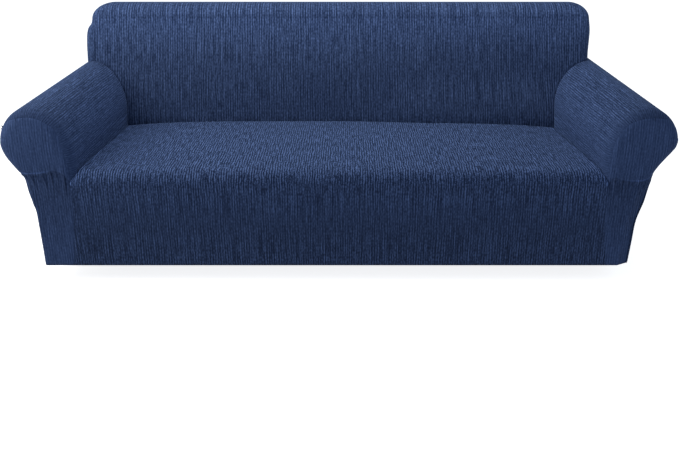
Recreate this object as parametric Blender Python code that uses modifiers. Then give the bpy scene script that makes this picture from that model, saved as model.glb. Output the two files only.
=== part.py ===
"""A stretch slipcover for a three-seat sofa with rolled arms.

The cover is modelled as it sits, pulled tight over a sofa that is left out,
so it is a hollow of thin cloth that is open underneath.  Nine cut pieces are
sewn together: the centre panel over the seat and down its front, the inside
back that goes over the top, the outside back, and for each arm a wrap, a
facing (the cap on the front of the roll) and a gathered drop below it.

Sizes are metres.  In the tables X is the distance from the middle of the
sofa, Y runs back from the front of the arms and Z up from the floor.  An
empty then carries every piece so that the frame's origin is the underside
of the cloth at the middle of the back's top.
"""
import math

import bmesh
import bpy
import numpy as np


class Table:
    """Rows of named numbers, read smoothly between rows by the first name."""

    def __init__(self, names, *rows):
        self.names = names.split()
        self.rows = np.array(sorted(rows))

    def at(self, key, name):
        keys = self.rows[:, 0]
        values = self.rows[:, self.names.index(name)]
        slopes = np.gradient(values, keys)
        i = int(np.clip(np.searchsorted(keys, key) - 1, 0, len(keys) - 2))
        span = keys[i + 1] - keys[i]
        t = min(max((key - keys[i]) / span, 0.0), 1.0)
        start = (1 + 2 * t) * (1 - t) ** 2 * values[i]
        end = t * t * (3 - 2 * t) * values[i + 1]
        bend = t * (1 - t) * ((1 - t) * slopes[i] - t * slopes[i + 1]) * span
        return float(start + end + bend)


# ---------------------------------------------------------------- cloth
CLOTH = 0.002            # thickness of the knit
FLAT_SEAM = 0.0003       # clear space along a seam that lies flat
ROUND_SEAM = 0.0014      # the same along a seam that lies on a rounded edge
HEM = 0.072              # height of the hem above the floor

# ---------------------------------------------------------------- seat
SEAT_TOP = 0.412         # height of the seat's front edge
SEAT_FALL = 0.013        # how much lower the seat is where it meets the back
SEAT_SINK = 0.018        # how much lower still it is in the rear corners
SEAT_CROWN = 0.007       # how much the middle of the seat stands higher
SEAT_NOSE = 0.045        # radius of the seat's front edge
SEAT_EDGE = 0.012        # radius where the seat turns down into a tuck
TUCK_FRONT = 0.378       # height at which the tucked edges end at the front
TUCK_REAR = 0.350        # and from there to the back
TUCK_GAP = 0.004         # clear space across the tuck at the back
SIDE_GAP = 0.003         # and across those beside the arms

# ---------------------------------------------------------------- arms
ROLL_MIDDLE = 0.997      # X of the highest line of the roll
ROLL_LEVEL = 0.505       # height of the outermost line
ROLL_TOP = 0.627
WALL_TOP = 0.450         # where the inner wall starts to roll outwards
ROLL_FULL = 2.0          # roundness of the roll's inner side at the front
ROLL_SLACK = 1.72        # and at the back, where the cloth bridges the corner
ROLL_OUTER = 1.86        # roundness of its outer side
ARM_REACH = 0.58         # from the arm's front to where it meets the back
TUCK_RUN = 0.25          # depth over which the tuck reaches its full depth
TUCK_CLOSES = 0.05       # and over which its two cloths come together
FOLLOWS_ROLL = 0.03      # depth over which the outer side follows the roll
HANGS_FREE = 0.22        # and over which it comes to hang straight
HANG_BEND = 0.9          # how nearly straight the hanging cloth is
CORNER_RUN = 0.10        # height over which the shoulder becomes the drop's corner
SHOULDER = 0.035         # radius from the roll to its front
OUTSIDE_FOOT = 1.012     # X of the outer side's hem behind the front

# ---------------------------------------------------------------- back
REAR = 0.865             # depth of the outside back
REAR_EDGE = 0.026        # radius of the rear edges
REAR_CORNER = 0.010      # and where the back stands on an arm
BACK_TOP = 0.848
BACK_NOSE = 0.055        # radius of the top front edge
BACK_SIDE = 0.040        # radius of the side front edges
BACK_FALL = 0.010        # how much the top falls towards the rear
BACK_FORWARD = 0.030     # how much further forward its right foot sits
FORWARD_WIDTH = 0.42     # X at which it does so in full
FORWARD_RISE = 0.16      # height above the seat over which that fades
BACK_SWELL = 0.008       # how much the middle of its front is filled out
BACK_FOOT = 0.635        # height at which its sides stand on the arms
SIDE_LEVELS = (0.655, 0.695, 0.735, 0.752, 0.766)
MOUNT = (0.0, 0.780, BACK_TOP - CLOTH)

BACK_FACE = Table(
    "height depth",
    (0.350, 0.583),
    (0.400, 0.587),
    (0.450, 0.601),
    (0.520, 0.623),
    (0.600, 0.649),
    (0.680, 0.674),
    (0.793, 0.708),
)

# X of the back's side edges
BACK_OUTLINE = Table(
    "height left right",
    (0.620, 1.033, 1.014),
    (0.660, 1.037, 1.017),
    (0.700, 1.038, 1.021),
    (0.735, 1.036, 1.024),
    (0.752, 1.031, 1.024),
    (0.766, 1.020, 1.023),
    (0.786, 1.016, 1.021),
)
CORNER_LEVEL = 0.786     # where the sides turn into the top corners

# X of the arm's outer edge at its front, from the roll down to the hem
ARM_OUTLINE = Table(
    "height left right",
    (0.505, 1.102, 1.106),
    (0.487, 1.099, 1.099),
    (0.458, 1.087, 1.079),
    (0.430, 1.069, 1.058),
    (0.402, 1.048, 1.044),
    (0.385, 1.038, 1.041),
    (0.348, 1.030, 1.038),
    (0.300, 1.019, 1.030),
    (0.255, 1.008, 1.017),
    (0.222, 1.006, 1.010),
    (0.150, 1.004, 1.006),
    (0.072, 1.003, 1.002),
)

# X of the seam between the centre panel and the arm drops
FRONT_SEAM = Table(
    "height left right",
    (0.378, 0.879, 0.888),
    (0.300, 0.880, 0.887),
    (0.200, 0.886, 0.894),
    (0.130, 0.894, 0.903),
    (0.072, 0.901, 0.910),
)

# Height of the gathered seam under the facing, by its share of the way
# from the inner side to the outer side
FACING_SEAM = Table(
    "share left right",
    (0.00, 0.3780, 0.3780),
    (0.06, 0.3980, 0.3910),
    (0.15, 0.4120, 0.3945),
    (0.27, 0.4195, 0.3870),
    (0.40, 0.4130, 0.3825),
    (0.55, 0.4090, 0.3810),
    (0.70, 0.4090, 0.3860),
    (0.85, 0.4130, 0.3990),
    (1.00, 0.3980, 0.4040),
)

# How far the facing's seam lies inside the edge of the roll, by the angle
# around the roll: 180 on the inner wall, 90 on top, 0 on the outer side
FACING_INSET = Table(
    "angle left right",
    (0, 0.0000, 0.0000),
    (30, 0.0015, 0.0012),
    (48, 0.0090, 0.0075),
    (58, 0.0165, 0.0145),
    (70, 0.0220, 0.0225),
    (85, 0.0250, 0.0270),
    (98, 0.0240, 0.0275),
    (112, 0.0215, 0.0245),
    (126, 0.0185, 0.0180),
    (139, 0.0153, 0.0150),
    (150, 0.0190, 0.0142),
    (163, 0.0240, 0.0145),
    (177, 0.0220, 0.0150),
    (190, 0.0150, 0.0110),
    (200, 0.0170, 0.0159),
)

SIDES = {
    "left": {
        "sign": -1,
        "roll_reach": 0.105,
        "wall_front": 0.862,
        "wall_rear": 0.862,
        "drop_corner": 0.014,
        "corner_width": 0.086,
    },
    "right": {
        "sign": 1,
        "roll_reach": 0.109,
        "wall_front": 0.872,
        "wall_rear": 0.860,
        "drop_corner": 0.055,
        "corner_width": 0.076,
    },
}
CORNER_HEIGHT = BACK_TOP - CORNER_LEVEL

# Gathers under a facing: where each fold stands, as a share of the way
# across the drop, how far it stands out and how far down it reaches
GATHERS = (
    {"share": 0.10, "stands": 0.0022, "reaches": 0.040},
    {"share": 0.19, "stands": 0.0034, "reaches": 0.075},
    {"share": 0.28, "stands": 0.0026, "reaches": 0.050},
    {"share": 0.37, "stands": 0.0038, "reaches": 0.090},
    {"share": 0.47, "stands": 0.0030, "reaches": 0.060},
    {"share": 0.56, "stands": 0.0040, "reaches": 0.100},
    {"share": 0.66, "stands": 0.0030, "reaches": 0.070},
    {"share": 0.77, "stands": 0.0036, "reaches": 0.085},
    {"share": 0.88, "stands": 0.0024, "reaches": 0.050},
)
GATHER_WIDTH = 0.024     # of one fold, as a share of the way across
GATHER_HELD = 0.35       # how much of a fold is left at the stitches
GATHER_FREE = 0.015      # and how far below them it stands out in full
SEAM_FADE = (0.07, 0.45)  # share of the drop that follows the seam, inside and outside
SEAM_FADE_WIDTH = 0.2    # share of the way across in which that changes
SEAM_LEVELS = 0.6        # share of the way across at which the seam starts to rise
FACING_FILL = 0.005      # how much a facing is filled out

# ---------------------------------------------------------------- meshing
ROLL_STEPS = 6           # faces over each quarter of the roll
SHOULDER_STEPS = 4
ARM_STEPS = 8
REAR_TURNS = (0, 0, 30, 60, 90)
PANEL_STEPS = 20
FACING_STEPS = 10        # faces across a facing
DROP_STEPS = 30          # three to each of the facing's
DROP_ROWS = (0.0, 0.05, 0.12, 0.22, 0.36, 0.55, 0.78, 1.0)
SHOULDER_END = 0.012     # the last evenly spaced step past the shoulder
ARM_SPACING = 1.25       # above 1, an arm's faces are shorter towards its front
REAR_LINES = 3           # lines over which the rear edge widens to its full radius
JUNCTION_TRIES = 6       # rounds taken to settle where the arm meets the back


def mix(a, b, share):
    return a + (b - a) * share


def ease(share):
    share = min(max(share, 0.0), 1.0)
    return share * share * (3 - 2 * share)


def steps(start, end, count):
    """Count + 1 evenly spaced numbers."""
    return [mix(start, end, i / count) for i in range(count + 1)]


# ---------------------------------------------------------------- surfaces
def back_depth(x, z):
    """Y of the back's front face."""
    low = 1 - ease((z - SEAT_TOP) / FORWARD_RISE)
    up = ease((z - TUCK_REAR) / (CORNER_LEVEL - TUCK_REAR))
    forward = BACK_FORWARD * ease(x / FORWARD_WIDTH) * low
    swell = BACK_SWELL * (1 - min(abs(x), 1.0) ** 2) * math.sin(math.pi * up)
    return BACK_FACE.at(z, "depth") - forward - swell


def wall(side, y):
    """X of an arm's inner wall."""
    reach = SIDES[side]
    return mix(reach["wall_front"], reach["wall_rear"], ease(y / ARM_REACH))


def tuck_foot(y):
    """Height at which the cloth ends in the tuck beside the arms."""
    return mix(TUCK_FRONT, TUCK_REAR, ease((y - SEAT_NOSE) / TUCK_RUN))


def roundness(y):
    return 2 / mix(ROLL_FULL, ROLL_SLACK, ease(y / ARM_REACH))


def roll_point(side, angle, y):
    """A point round the roll: 180 degrees is the wall, 0 the outer side."""
    turn = math.radians(angle)
    if angle <= 90:
        power, level = 2 / ROLL_OUTER, ROLL_LEVEL
        across = SIDES[side]["roll_reach"]
    else:
        power, level = roundness(y), WALL_TOP
        across = wall(side, y) - ROLL_MIDDLE
    return (ROLL_MIDDLE + across * abs(math.cos(turn)) ** power,
            level + (ROLL_TOP - level) * abs(math.sin(turn)) ** power)


def roll_angle(side, x, y):
    """The angle round the roll at which its upper side reaches x."""
    if x >= ROLL_MIDDLE:
        share = (x - ROLL_MIDDLE) / SIDES[side]["roll_reach"]
        return math.degrees(math.acos(share ** (ROLL_OUTER / 2)))
    share = (ROLL_MIDDLE - x) / (ROLL_MIDDLE - wall(side, y))
    return 180 - math.degrees(math.acos(min(share, 1.0) ** (1 / roundness(y))))


def outer_x(side, z, y):
    """X of the arm's outer side below its outermost line.

    At the front the cloth follows the roll and is drawn in below it.
    Further back it hangs straight from the roll to the hem.
    """
    front = ARM_OUTLINE.at(z, side)
    share = (ROLL_LEVEL - z) / (ROLL_LEVEL - HEM)
    straight = mix(ROLL_MIDDLE + SIDES[side]["roll_reach"], OUTSIDE_FOOT, share ** HANG_BEND)
    return mix(front, straight, ease((y - FOLLOWS_ROLL) / HANGS_FREE))


def shoulder(along, radius):
    """Inset and depth on a rounded front edge.

    `along` is the distance along the cloth from the end of the rounding:
    positive towards the rear, negative round on to the front face.
    """
    quarter = radius * math.pi / 2
    if along >= 0:
        return 0.0, radius + along
    if along >= -quarter:
        turn = math.pi / 2 + along / radius
        return radius * (1 - math.sin(turn)), radius * (1 - math.cos(turn))
    return radius - along - quarter, 0.0


def shoulder_along(inset, radius):
    """The distance along the cloth at which it is that far inset."""
    if inset >= radius:
        return -(inset - radius) - radius * math.pi / 2
    return -radius * (math.pi / 2 - math.asin(1 - inset / radius))


# ---------------------------------------------------------------- stations
def arm_stations(side):
    """The lines that run along an arm, from its tuck over the roll to the hem.

    Each has a kind and a value: the wall by its share of the way up, the
    roll by angle, the top by X and the outer side by height.
    """
    edge = BACK_OUTLINE.at(BACK_FOOT, side)
    round_start = edge - BACK_SIDE
    rear_y = back_depth(SIDES[side]["sign"] * round_start, ROLL_TOP)
    first = roll_angle(side, round_start, rear_y)
    last = roll_angle(side, edge, rear_y)
    stations = [("wall", share) for share in steps(0, 1, 3)[:-1]]
    stations += [("roll", a) for a in steps(180, first, ROLL_STEPS)[:-1]]
    stations += [("top", round_start + BACK_SIDE * math.sin(math.radians(a)))
                 for a in (0, 30, 60, 90)]
    stations += [("roll", a) for a in steps(last, 0, ROLL_STEPS)[1:]]
    seam_end = FACING_SEAM.at(1, side)
    stations += [("outer", z) for z in steps(ROLL_LEVEL, seam_end, 4)[1:]]
    stations += [("outer", mix(seam_end, HEM, row)) for row in DROP_ROWS[1:]]
    return stations


def station_point(side, station, y):
    kind, value = station
    if kind == "wall":
        return wall(side, y), mix(tuck_foot(y), WALL_TOP, value)
    if kind == "roll":
        return roll_point(side, value, y)
    if kind == "top":
        return roll_point(side, roll_angle(side, value, y), y)
    return outer_x(side, value, y), value


def station_angle(side, station):
    """The angle round the roll by which the facing's inset is read."""
    kind, value = station
    if kind == "wall":
        return mix(200, 180, value)
    if kind == "roll":
        return value
    if kind == "top":
        return roll_angle(side, value, SHOULDER)
    return 0


def outward(points):
    """Unit normals of an open outline that runs from the wall to the hem."""
    points = np.array(points)
    lengths = np.linalg.norm(np.diff(points, axis=0), axis=1)
    along = np.gradient(points, np.append(0, np.cumsum(lengths)), axis=0)
    normals = np.stack((-along[:, 1], along[:, 0]), axis=1)
    return normals / np.linalg.norm(normals, axis=1)[:, None]


def place(side, x, y, z):
    return (SIDES[side]["sign"] * x, y, z)


# ---------------------------------------------------------------- arm wrap
def edge_index(stations):
    """Where the back's side face meets the roll."""
    return max(i for i, s in enumerate(stations) if s[0] == "top")


def seam_index(side, stations):
    """The lowest line that borders the facing."""
    end = FACING_SEAM.at(1, side)
    return min(i for i, s in enumerate(stations)
               if s[0] == "outer" and s[1] <= end + 1e-6)


def junction_depth(side, station):
    """Y at which a line of the arm meets the back's front."""
    start = BACK_OUTLINE.at(BACK_FOOT, side) - BACK_SIDE
    y = ARM_REACH
    for _ in range(JUNCTION_TRIES):
        x, z = station_point(side, station, y)
        turn = math.asin(min(max((x - start) / BACK_SIDE, 0.0), 1.0))
        front = back_depth(SIDES[side]["sign"] * min(x, start), z)
        y = front + BACK_SIDE * (1 - math.cos(turn))
    return y


def front_radius(side, station):
    """Radius of the arm's front edge: the shoulder, then the drop's corner."""
    if station[0] != "outer":
        return SHOULDER
    end = FACING_SEAM.at(1, side)
    lower = ease((end - station[1]) / CORNER_RUN)
    return mix(SHOULDER, SIDES[side]["drop_corner"], lower)


def facing_edge(side, stations):
    """The distance along the shoulder of the facing's seam on each line."""
    last = seam_index(side, stations)
    along = []
    for i, station in enumerate(stations):
        inset = 0.0
        if i < last:
            inset = max(FACING_INSET.at(station_angle(side, station), side), 0.0)
        along.append(shoulder_along(inset, front_radius(side, station)))
    return along


def rear_lines(side, stations):
    """The arm's outline at the rear, its outward directions and its radii.

    Where the back's side stands on the roll the outline turns inwards, so
    there the direction lies halfway between the two.
    """
    edge = edge_index(stations)
    outline = np.array([station_point(side, s, REAR) for s in stations])
    out = outward(outline)
    out[edge] = (1, 1)
    radii = [mix(REAR_CORNER, REAR_EDGE, ease((i - edge) / REAR_LINES))
             for i in range(len(stations))]
    return outline, out, radii


def rear_turn(start, radius, k):
    """Depth and inset of the k-th point from there to the rear face."""
    turn = math.radians(REAR_TURNS[k])
    level = REAR - radius
    if k < 2:
        return mix(start, level, (k + 1) / 2), 0.0
    return level + radius * math.sin(turn), radius * (1 - math.cos(turn))


def arm_wrap(side):
    """The arm's long panel: inner wall, over the roll and down outside."""
    stations = arm_stations(side)
    edge = edge_index(stations)
    starts = facing_edge(side, stations)
    split = [junction_depth(side, s) for s in stations[:edge + 1]]
    split += [split[edge]] * (len(stations) - edge - 1)
    columns = []
    front = [station_point(side, s, SHOULDER) for s in stations]
    front_out = outward(front)
    for k in range(SHOULDER_STEPS + 1):
        column = []
        for i, station in enumerate(stations):
            along = mix(starts[i] + ROUND_SEAM / 2, SHOULDER_END, k / SHOULDER_STEPS)
            inset, y = shoulder(along, front_radius(side, station))
            x, z = station_point(side, station, y)
            x -= front_out[i][0] * inset
            z -= front_out[i][1] * inset
            column.append(place(side, x, y, z))
        columns.append(column)
    for k in range(1, ARM_STEPS + 1):
        column = []
        for i, station in enumerate(stations):
            start = front_radius(side, station) + SHOULDER_END
            end = split[i] - (FLAT_SEAM if i <= edge else 0)
            y = mix(start, end, (k / ARM_STEPS) ** ARM_SPACING)
            x, z = station_point(side, station, y)
            if i == edge:
                x += FLAT_SEAM * k / ARM_STEPS
            column.append(place(side, x, y, z))
        columns.append(column)
    columns += rear_columns(side, stations, edge, split[edge])
    return list(zip(*columns))


def rear_columns(side, stations, edge, start):
    """The wrap beside the back: on to the rear and round the rear edge."""
    _, out, radii = rear_lines(side, stations)
    columns = []
    for k in range(len(REAR_TURNS)):
        column = [None] * edge
        for i in range(edge, len(stations)):
            y, inset = rear_turn(start, radii[i], k)
            x, z = station_point(side, stations[i], y)
            x += FLAT_SEAM if i == edge else 0
            x -= out[i][0] * inset
            z -= out[i][1] * inset
            column.append(place(side, x, y, z))
        columns.append(column)
    return columns


# ---------------------------------------------------------------- patches
def patch(left, right, bottom, top):
    """A grid between four edges, each a list of points; rows run upwards."""
    left, right, bottom, top = (np.array(edge) for edge in (left, right, bottom, top))
    rows = []
    for r, up in enumerate(steps(0, 1, len(left) - 1)):
        row = []
        for c, across in enumerate(steps(0, 1, len(bottom) - 1)):
            sides = mix(left[r], right[r], across)
            ends = mix(bottom[c], top[c], up)
            low = mix(bottom[0], bottom[-1], across)
            high = mix(top[0], top[-1], across)
            row.append(sides + ends - mix(low, high, up))
        rows.append(row)
    return rows


# ---------------------------------------------------------------- facing
class Facing:
    """The flat facing of a roll, bent back round the roll's front edge."""

    def __init__(self, side):
        self.side = side
        stations = arm_stations(side)
        last = seam_index(side, stations)
        along = facing_edge(side, stations)
        outline = [station_point(side, s, SHOULDER) for s in stations]
        self.out = outward(outline)[:last + 1]
        self.flat = np.array(outline)[:last + 1] - self.out * SHOULDER
        quarter = SHOULDER * math.pi / 2
        reach = quarter + np.array(along[:last + 1])
        self.cut = self.flat + self.out * (reach[:, None] - ROUND_SEAM / 2)

    def bend(self, point):
        """Where a point of the flat facing lies once it is bent."""
        best = None
        for i, cut in enumerate(self.cut):
            if np.allclose(point, cut):
                best = (0.0, self.flat[i], self.out[i])
        for i in range(len(self.flat) - 1):
            start, end = self.flat[i], self.flat[i + 1]
            run = end - start
            share = float(np.clip(np.dot(point - start, run) / np.dot(run, run), 0, 1))
            near = mix(start, end, share)
            gap = float(np.linalg.norm(point - near))
            if best is None or gap < best[0]:
                out = mix(self.out[i], self.out[i + 1], share)
                best = (gap, near, out / np.linalg.norm(out))
        _, near, out = best
        beyond = float(np.dot(point - near, out))
        if beyond <= 0:
            return point[0], 0.0, point[1]
        turn = min(beyond / SHOULDER, math.pi / 2)
        x, z = point + out * (SHOULDER * math.sin(turn) - beyond)
        return x, SHOULDER * (1 - math.cos(turn)), z

    def flat_seam(self, share):
        """A point of the flat facing's lower edge."""
        start, end = self.cut[0], self.cut[-1]
        drop = end[1] - FACING_SEAM.at(1, self.side)
        height = FACING_SEAM.at(share, self.side) + drop * ease((share - SEAM_LEVELS) / (1 - SEAM_LEVELS))
        return np.array((mix(start[0], end[0], share), height))

    def seam(self, share):
        """Where the gathered seam lies once the facing is bent."""
        step = min(int(share * FACING_STEPS + 1e-9), FACING_STEPS - 1)
        start = np.array(self.bend(self.flat_seam(step / FACING_STEPS)))
        end = np.array(self.bend(self.flat_seam((step + 1) / FACING_STEPS)))
        return mix(start, end, share * FACING_STEPS - step)


def arm_facing(side):
    """The cap over the front of the roll, slightly filled out."""
    facing = Facing(side)
    up = (len(facing.cut) - 1 - FACING_STEPS) // 2
    left = facing.cut[:up + 1]
    top = facing.cut[up:up + FACING_STEPS + 1]
    right = facing.cut[:up + FACING_STEPS - 1:-1]
    bottom = [facing.flat_seam(s) for s in steps(0, 1, FACING_STEPS)]
    bottom[0], bottom[-1] = left[0], right[0]
    rows = []
    for r, line in enumerate(patch(left, right, bottom, top)):
        row = []
        for c, point in enumerate(line):
            x, y, z = facing.bend(point)
            fill = math.sin(math.pi * c / FACING_STEPS) * math.sin(math.pi * r / up)
            z += FLAT_SEAM if r == 0 else 0
            row.append(place(side, x, y - FACING_FILL * fill, z))
        rows.append(row)
    return rows


# ---------------------------------------------------------------- drop
def drop_path(side, z, share):
    """A point across the drop: the flat front, then round the corner."""
    inner = FRONT_SEAM.at(z, side) + 2 * FLAT_SEAM
    radius = front_radius(side, ("outer", z))
    flat_end = outer_x(side, z, radius) - radius
    reach = (flat_end - inner + radius * math.pi / 2 - ROUND_SEAM / 2) * share
    if inner + reach <= flat_end:
        return np.array((inner + reach, 0.0, z)), np.array((0.0, -1.0, 0.0))
    turn = (inner + reach - flat_end) / radius
    point = (flat_end + radius * math.sin(turn), radius * (1 - math.cos(turn)), z)
    return np.array(point), np.array((math.sin(turn), -math.cos(turn), 0.0))


def gather(share, below):
    """How far the gathers stand out at a place below their seam."""
    held = mix(GATHER_HELD, 1.0, ease(below / GATHER_FREE))
    total = 0.0
    for fold in GATHERS:
        width = math.exp(-((share - fold["share"]) / GATHER_WIDTH) ** 2)
        total += fold["stands"] * width * (1 - ease(below / fold["reaches"]))
    return total * held


def arm_drop(side):
    """The front of the arm below its facing, gathered into the seam."""
    facing = Facing(side)
    columns = []
    for share in steps(0, 1, DROP_STEPS):
        seam = facing.seam(share) - (0, 0, FLAT_SEAM)
        first, _ = drop_path(side, seam[2], share)
        fade = mix(*SEAM_FADE, ease(share / SEAM_FADE_WIDTH))
        column = []
        for row in DROP_ROWS:
            z = mix(seam[2], HEM, row)
            point, out = drop_path(side, z, share)
            point = point + (seam - first) * (1 - ease(row / fade))
            point = point + out * gather(share, seam[2] - z)
            column.append(place(side, *point))
        columns.append(column)
    return list(zip(*columns))


# ---------------------------------------------------------------- centre
def seat_half(side, y, z, foot):
    """X of the centre panel's side edge, or of its foot in the tuck."""
    seam = FRONT_SEAM.at(min(z, TUCK_FRONT), side) - 2 * FLAT_SEAM
    if z < TUCK_FRONT and y < SEAT_NOSE:
        return seam
    if y < SHOULDER:
        inset = SHOULDER - math.sqrt(SHOULDER ** 2 - (SHOULDER - y) ** 2)
        gap = mix(ROUND_SEAM, SIDE_GAP, y / SHOULDER)
        return min(wall(side, y) + inset - gap, seam)
    sewn = foot * ease((y - SHOULDER) / TUCK_CLOSES)
    return wall(side, y) - mix(SIDE_GAP, 2 * FLAT_SEAM, sewn)


def seat_height(share, y):
    """Height of the seat, by the share of the way out to its side."""
    back = min(max((y - SEAT_NOSE) / (ARM_REACH - SEAT_NOSE), 0.0), 1.0)
    crown = SEAT_CROWN * math.sin(math.pi * back) * (1 - abs(share) ** 4)
    sink = SEAT_SINK * ease(back) * abs(share) ** 5
    return SEAT_TOP - SEAT_FALL * back + crown - sink


def centre_rows(share):
    """Depth, height and tuck foot of the panel's lines, from the back down."""
    side = "left" if share < 0 else "right"
    behind = back_depth(share * wall(side, 0.3), TUCK_REAR)
    foot = behind - TUCK_GAP
    top = seat_height(share, foot)
    rows = [(behind - ROUND_SEAM, TUCK_REAR, TUCK_REAR)]
    for in_share, down in ((0.0, 1.0), (0.3, 0.3)):
        rows.append((foot - SEAT_EDGE * in_share, top - SEAT_EDGE * down, TUCK_REAR))
    for y in steps(foot - SEAT_EDGE, SEAT_NOSE, 7):
        rows.append((y, seat_height(share, y), tuck_foot(y)))
    for angle in (18, 36, 54, 72, 90):
        turn = math.radians(angle)
        y, z = SEAT_NOSE * (1 - math.sin(turn)), SEAT_TOP - SEAT_NOSE * (1 - math.cos(turn))
        rows.append((y, z, min(z, TUCK_FRONT)))
    rows += [(0.0, z, z) for z in steps(SEAT_TOP - SEAT_NOSE, HEM, 6)[1:]]
    return rows


EDGE_COLUMNS = (
    {"inset": 0.000, "sinks": 1.00},
    {"inset": 0.003, "sinks": 0.36},
    {"inset": 0.009, "sinks": 0.07},
)
EDGE_INSET = 0.018


def centre_panel():
    """The seat and the front below it, cut in one piece."""
    places = [("left", edge) for edge in EDGE_COLUMNS]
    places += [(None, share) for share in steps(-1, 1, PANEL_STEPS)]
    places += [("right", edge) for edge in reversed(EDGE_COLUMNS)]
    columns = []
    for side, value in places:
        share = value if side is None else SIDES[side]["sign"]
        near = "left" if share < 0 else "right"
        column = []
        for y, z, foot in centre_rows(share):
            sewn = side is not None and value["sinks"] == 1
            half = seat_half(near, y, z, sewn)
            if side is None:
                x = share * (half - EDGE_INSET)
            else:
                x = SIDES[side]["sign"] * (half - value["inset"])
                z = mix(z, foot, value["sinks"])
            column.append((x, y, z))
        columns.append(column)
    return list(zip(*columns))


# ---------------------------------------------------------------- back
def back_edge(side):
    """The back's edge from the arm up to the middle of the top corner.

    Each entry has the edge's outer line, the line on the front face where
    it starts to round off, the radius of that rounding, how far it is a top
    edge rather than a side edge, and the radius of its rear edge.
    """
    entries = []
    for z in (*SIDE_LEVELS, CORNER_LEVEL):
        x = BACK_OUTLINE.at(z, side)
        rear = REAR_EDGE * (0.5 if z == SIDE_LEVELS[0] else 1.0)
        entries.append(((x, z), (x - BACK_SIDE, z), BACK_SIDE, 0.0, rear))
    return entries + [corner_entry(side, angle) for angle in (22.5, 45)]


def corner_entry(side, angle):
    width = SIDES[side]["corner_width"]
    middle = BACK_OUTLINE.at(CORNER_LEVEL, side) - width
    turn = math.radians(angle)
    across, up = math.cos(turn), math.sin(turn)
    outer = (middle + width * across, CORNER_LEVEL + CORNER_HEIGHT * up)
    inner = (middle + (width - BACK_SIDE) * across,
             CORNER_LEVEL + (CORNER_HEIGHT - BACK_NOSE) * up)
    return outer, inner, mix(BACK_SIDE, BACK_NOSE, up), up, REAR_EDGE


def back_top():
    """The back's edge along its top, between the middles of the corners."""
    entries = []
    for angle in (67.5, 90):
        entries.append(mirrored(corner_entry("left", angle)))
    start = entries[-1][0][0]
    end = corner_entry("right", 90)[0][0]
    for x in steps(start, end, PANEL_STEPS - 4)[1:-1]:
        entries.append(((x, BACK_TOP), (x, BACK_TOP - BACK_NOSE), BACK_NOSE, 1.0, REAR_EDGE))
    for angle in (90, 67.5):
        entries.append(corner_entry("right", angle))
    return entries


def mirrored(entry):
    outer, inner, radius, top, rear = entry
    return (-outer[0], outer[1]), (-inner[0], inner[1]), radius, top, rear


def edge_column(entry):
    """The cloth at one place of the back's edge, from the front to the rear."""
    outer, inner, radius, top, rear = entry
    outer, inner = np.array(outer), np.array(inner)
    inward = (inner - outer) / np.linalg.norm(inner - outer)
    start = back_depth(*inner)
    column = []
    for angle in (0, 30, 60, 90):
        turn = math.radians(angle)
        x, z = mix(inner, outer, math.sin(turn))
        column.append((x, start + radius * (1 - math.cos(turn)), z))
    front, level = start + radius, REAR - rear
    fall = np.array((0.0, BACK_FALL * top))
    for share in (0.5, 1.0):
        x, z = outer - fall * share ** 2
        column.append((x, mix(front, level, share), z))
    for angle in (30, 60, 90):
        turn = math.radians(angle)
        x, z = outer - fall + inward * rear * (1 - math.cos(turn))
        column.append((x, level + rear * math.sin(turn), z))
    return column


def foot_column(side, stations):
    """The lower end of the back's side, where it stands on the roll."""
    edge = edge_index(stations)
    column = []
    for i in range(edge - 3, edge + 1):
        y = junction_depth(side, stations[i])
        x, z = station_point(side, stations[i], y)
        column.append(place(side, x, y, z + FLAT_SEAM * (len(column) > 0)))
    start = junction_depth(side, stations[edge])
    for k in range(len(REAR_TURNS)):
        y, inset = rear_turn(start, REAR_CORNER, k)
        x, z = station_point(side, stations[edge], y)
        column.append(place(side, x - inset, y, z - inset + FLAT_SEAM))
    return column


def inside_back():
    """The back's front, over its top and round its sides, in one piece."""
    stations = {side: arm_stations(side) for side in SIDES}
    edges, feet = {}, {}
    for side in SIDES:
        lines = stations[side]
        front = []
        for i in range(edge_index(lines) - 2):
            y = junction_depth(side, lines[i])
            x, z = station_point(side, lines[i], y)
            front.append((SIDES[side]["sign"] * x, z))
        entries = back_edge(side)
        if side == "left":
            entries = [mirrored(entry) for entry in entries]
        edges[side] = front + [entry[1] for entry in entries]
        feet[side] = (foot_column(side, lines), entries)
    top = [feet["left"][1][-1]] + back_top() + [feet["right"][1][-1]]
    bottom = [mix(np.array(edges["left"][0]), np.array(edges["right"][0]), s)
              for s in steps(0, 1, len(top) - 1)]
    face = patch(edges["left"], edges["right"], bottom, [entry[1] for entry in top])
    face = [[(x, back_depth(x, z), z) for x, z in row] for row in face]
    rim = [feet["left"][0]] + [edge_column(e) for e in feet["left"][1][:-1]]
    rim += [edge_column(e) for e in top]
    rim += [edge_column(e) for e in reversed(feet["right"][1][:-1])] + [feet["right"][0]]
    return face, rim


def rear_outline():
    """The outside back's outline, just inside the rounded rear edges."""
    sides = {}
    for side in SIDES:
        stations = arm_stations(side)
        outline, out, radii = rear_lines(side, stations)
        points = []
        for i in range(len(stations) - 1, edge_index(stations) - 1, -1):
            points.append(outline[i] - out[i] * (radii[i] + ROUND_SEAM))
        entries = back_edge(side)
        for entry in entries:
            points.append(rear_point(entry))
        points = [(SIDES[side]["sign"] * x, z) for x, z in points]
        sides[side] = points
    top = [rear_point(entry) for entry in back_top()]
    return sides["left"] + [tuple(p) for p in top] + sides["right"][::-1]


def rear_point(entry):
    outer, inner, _, top, rear = entry
    outer, inner = np.array(outer), np.array(inner)
    inward = (inner - outer) / np.linalg.norm(inner - outer)
    return outer - (0.0, BACK_FALL * top) + inward * (rear + ROUND_SEAM)


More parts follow.
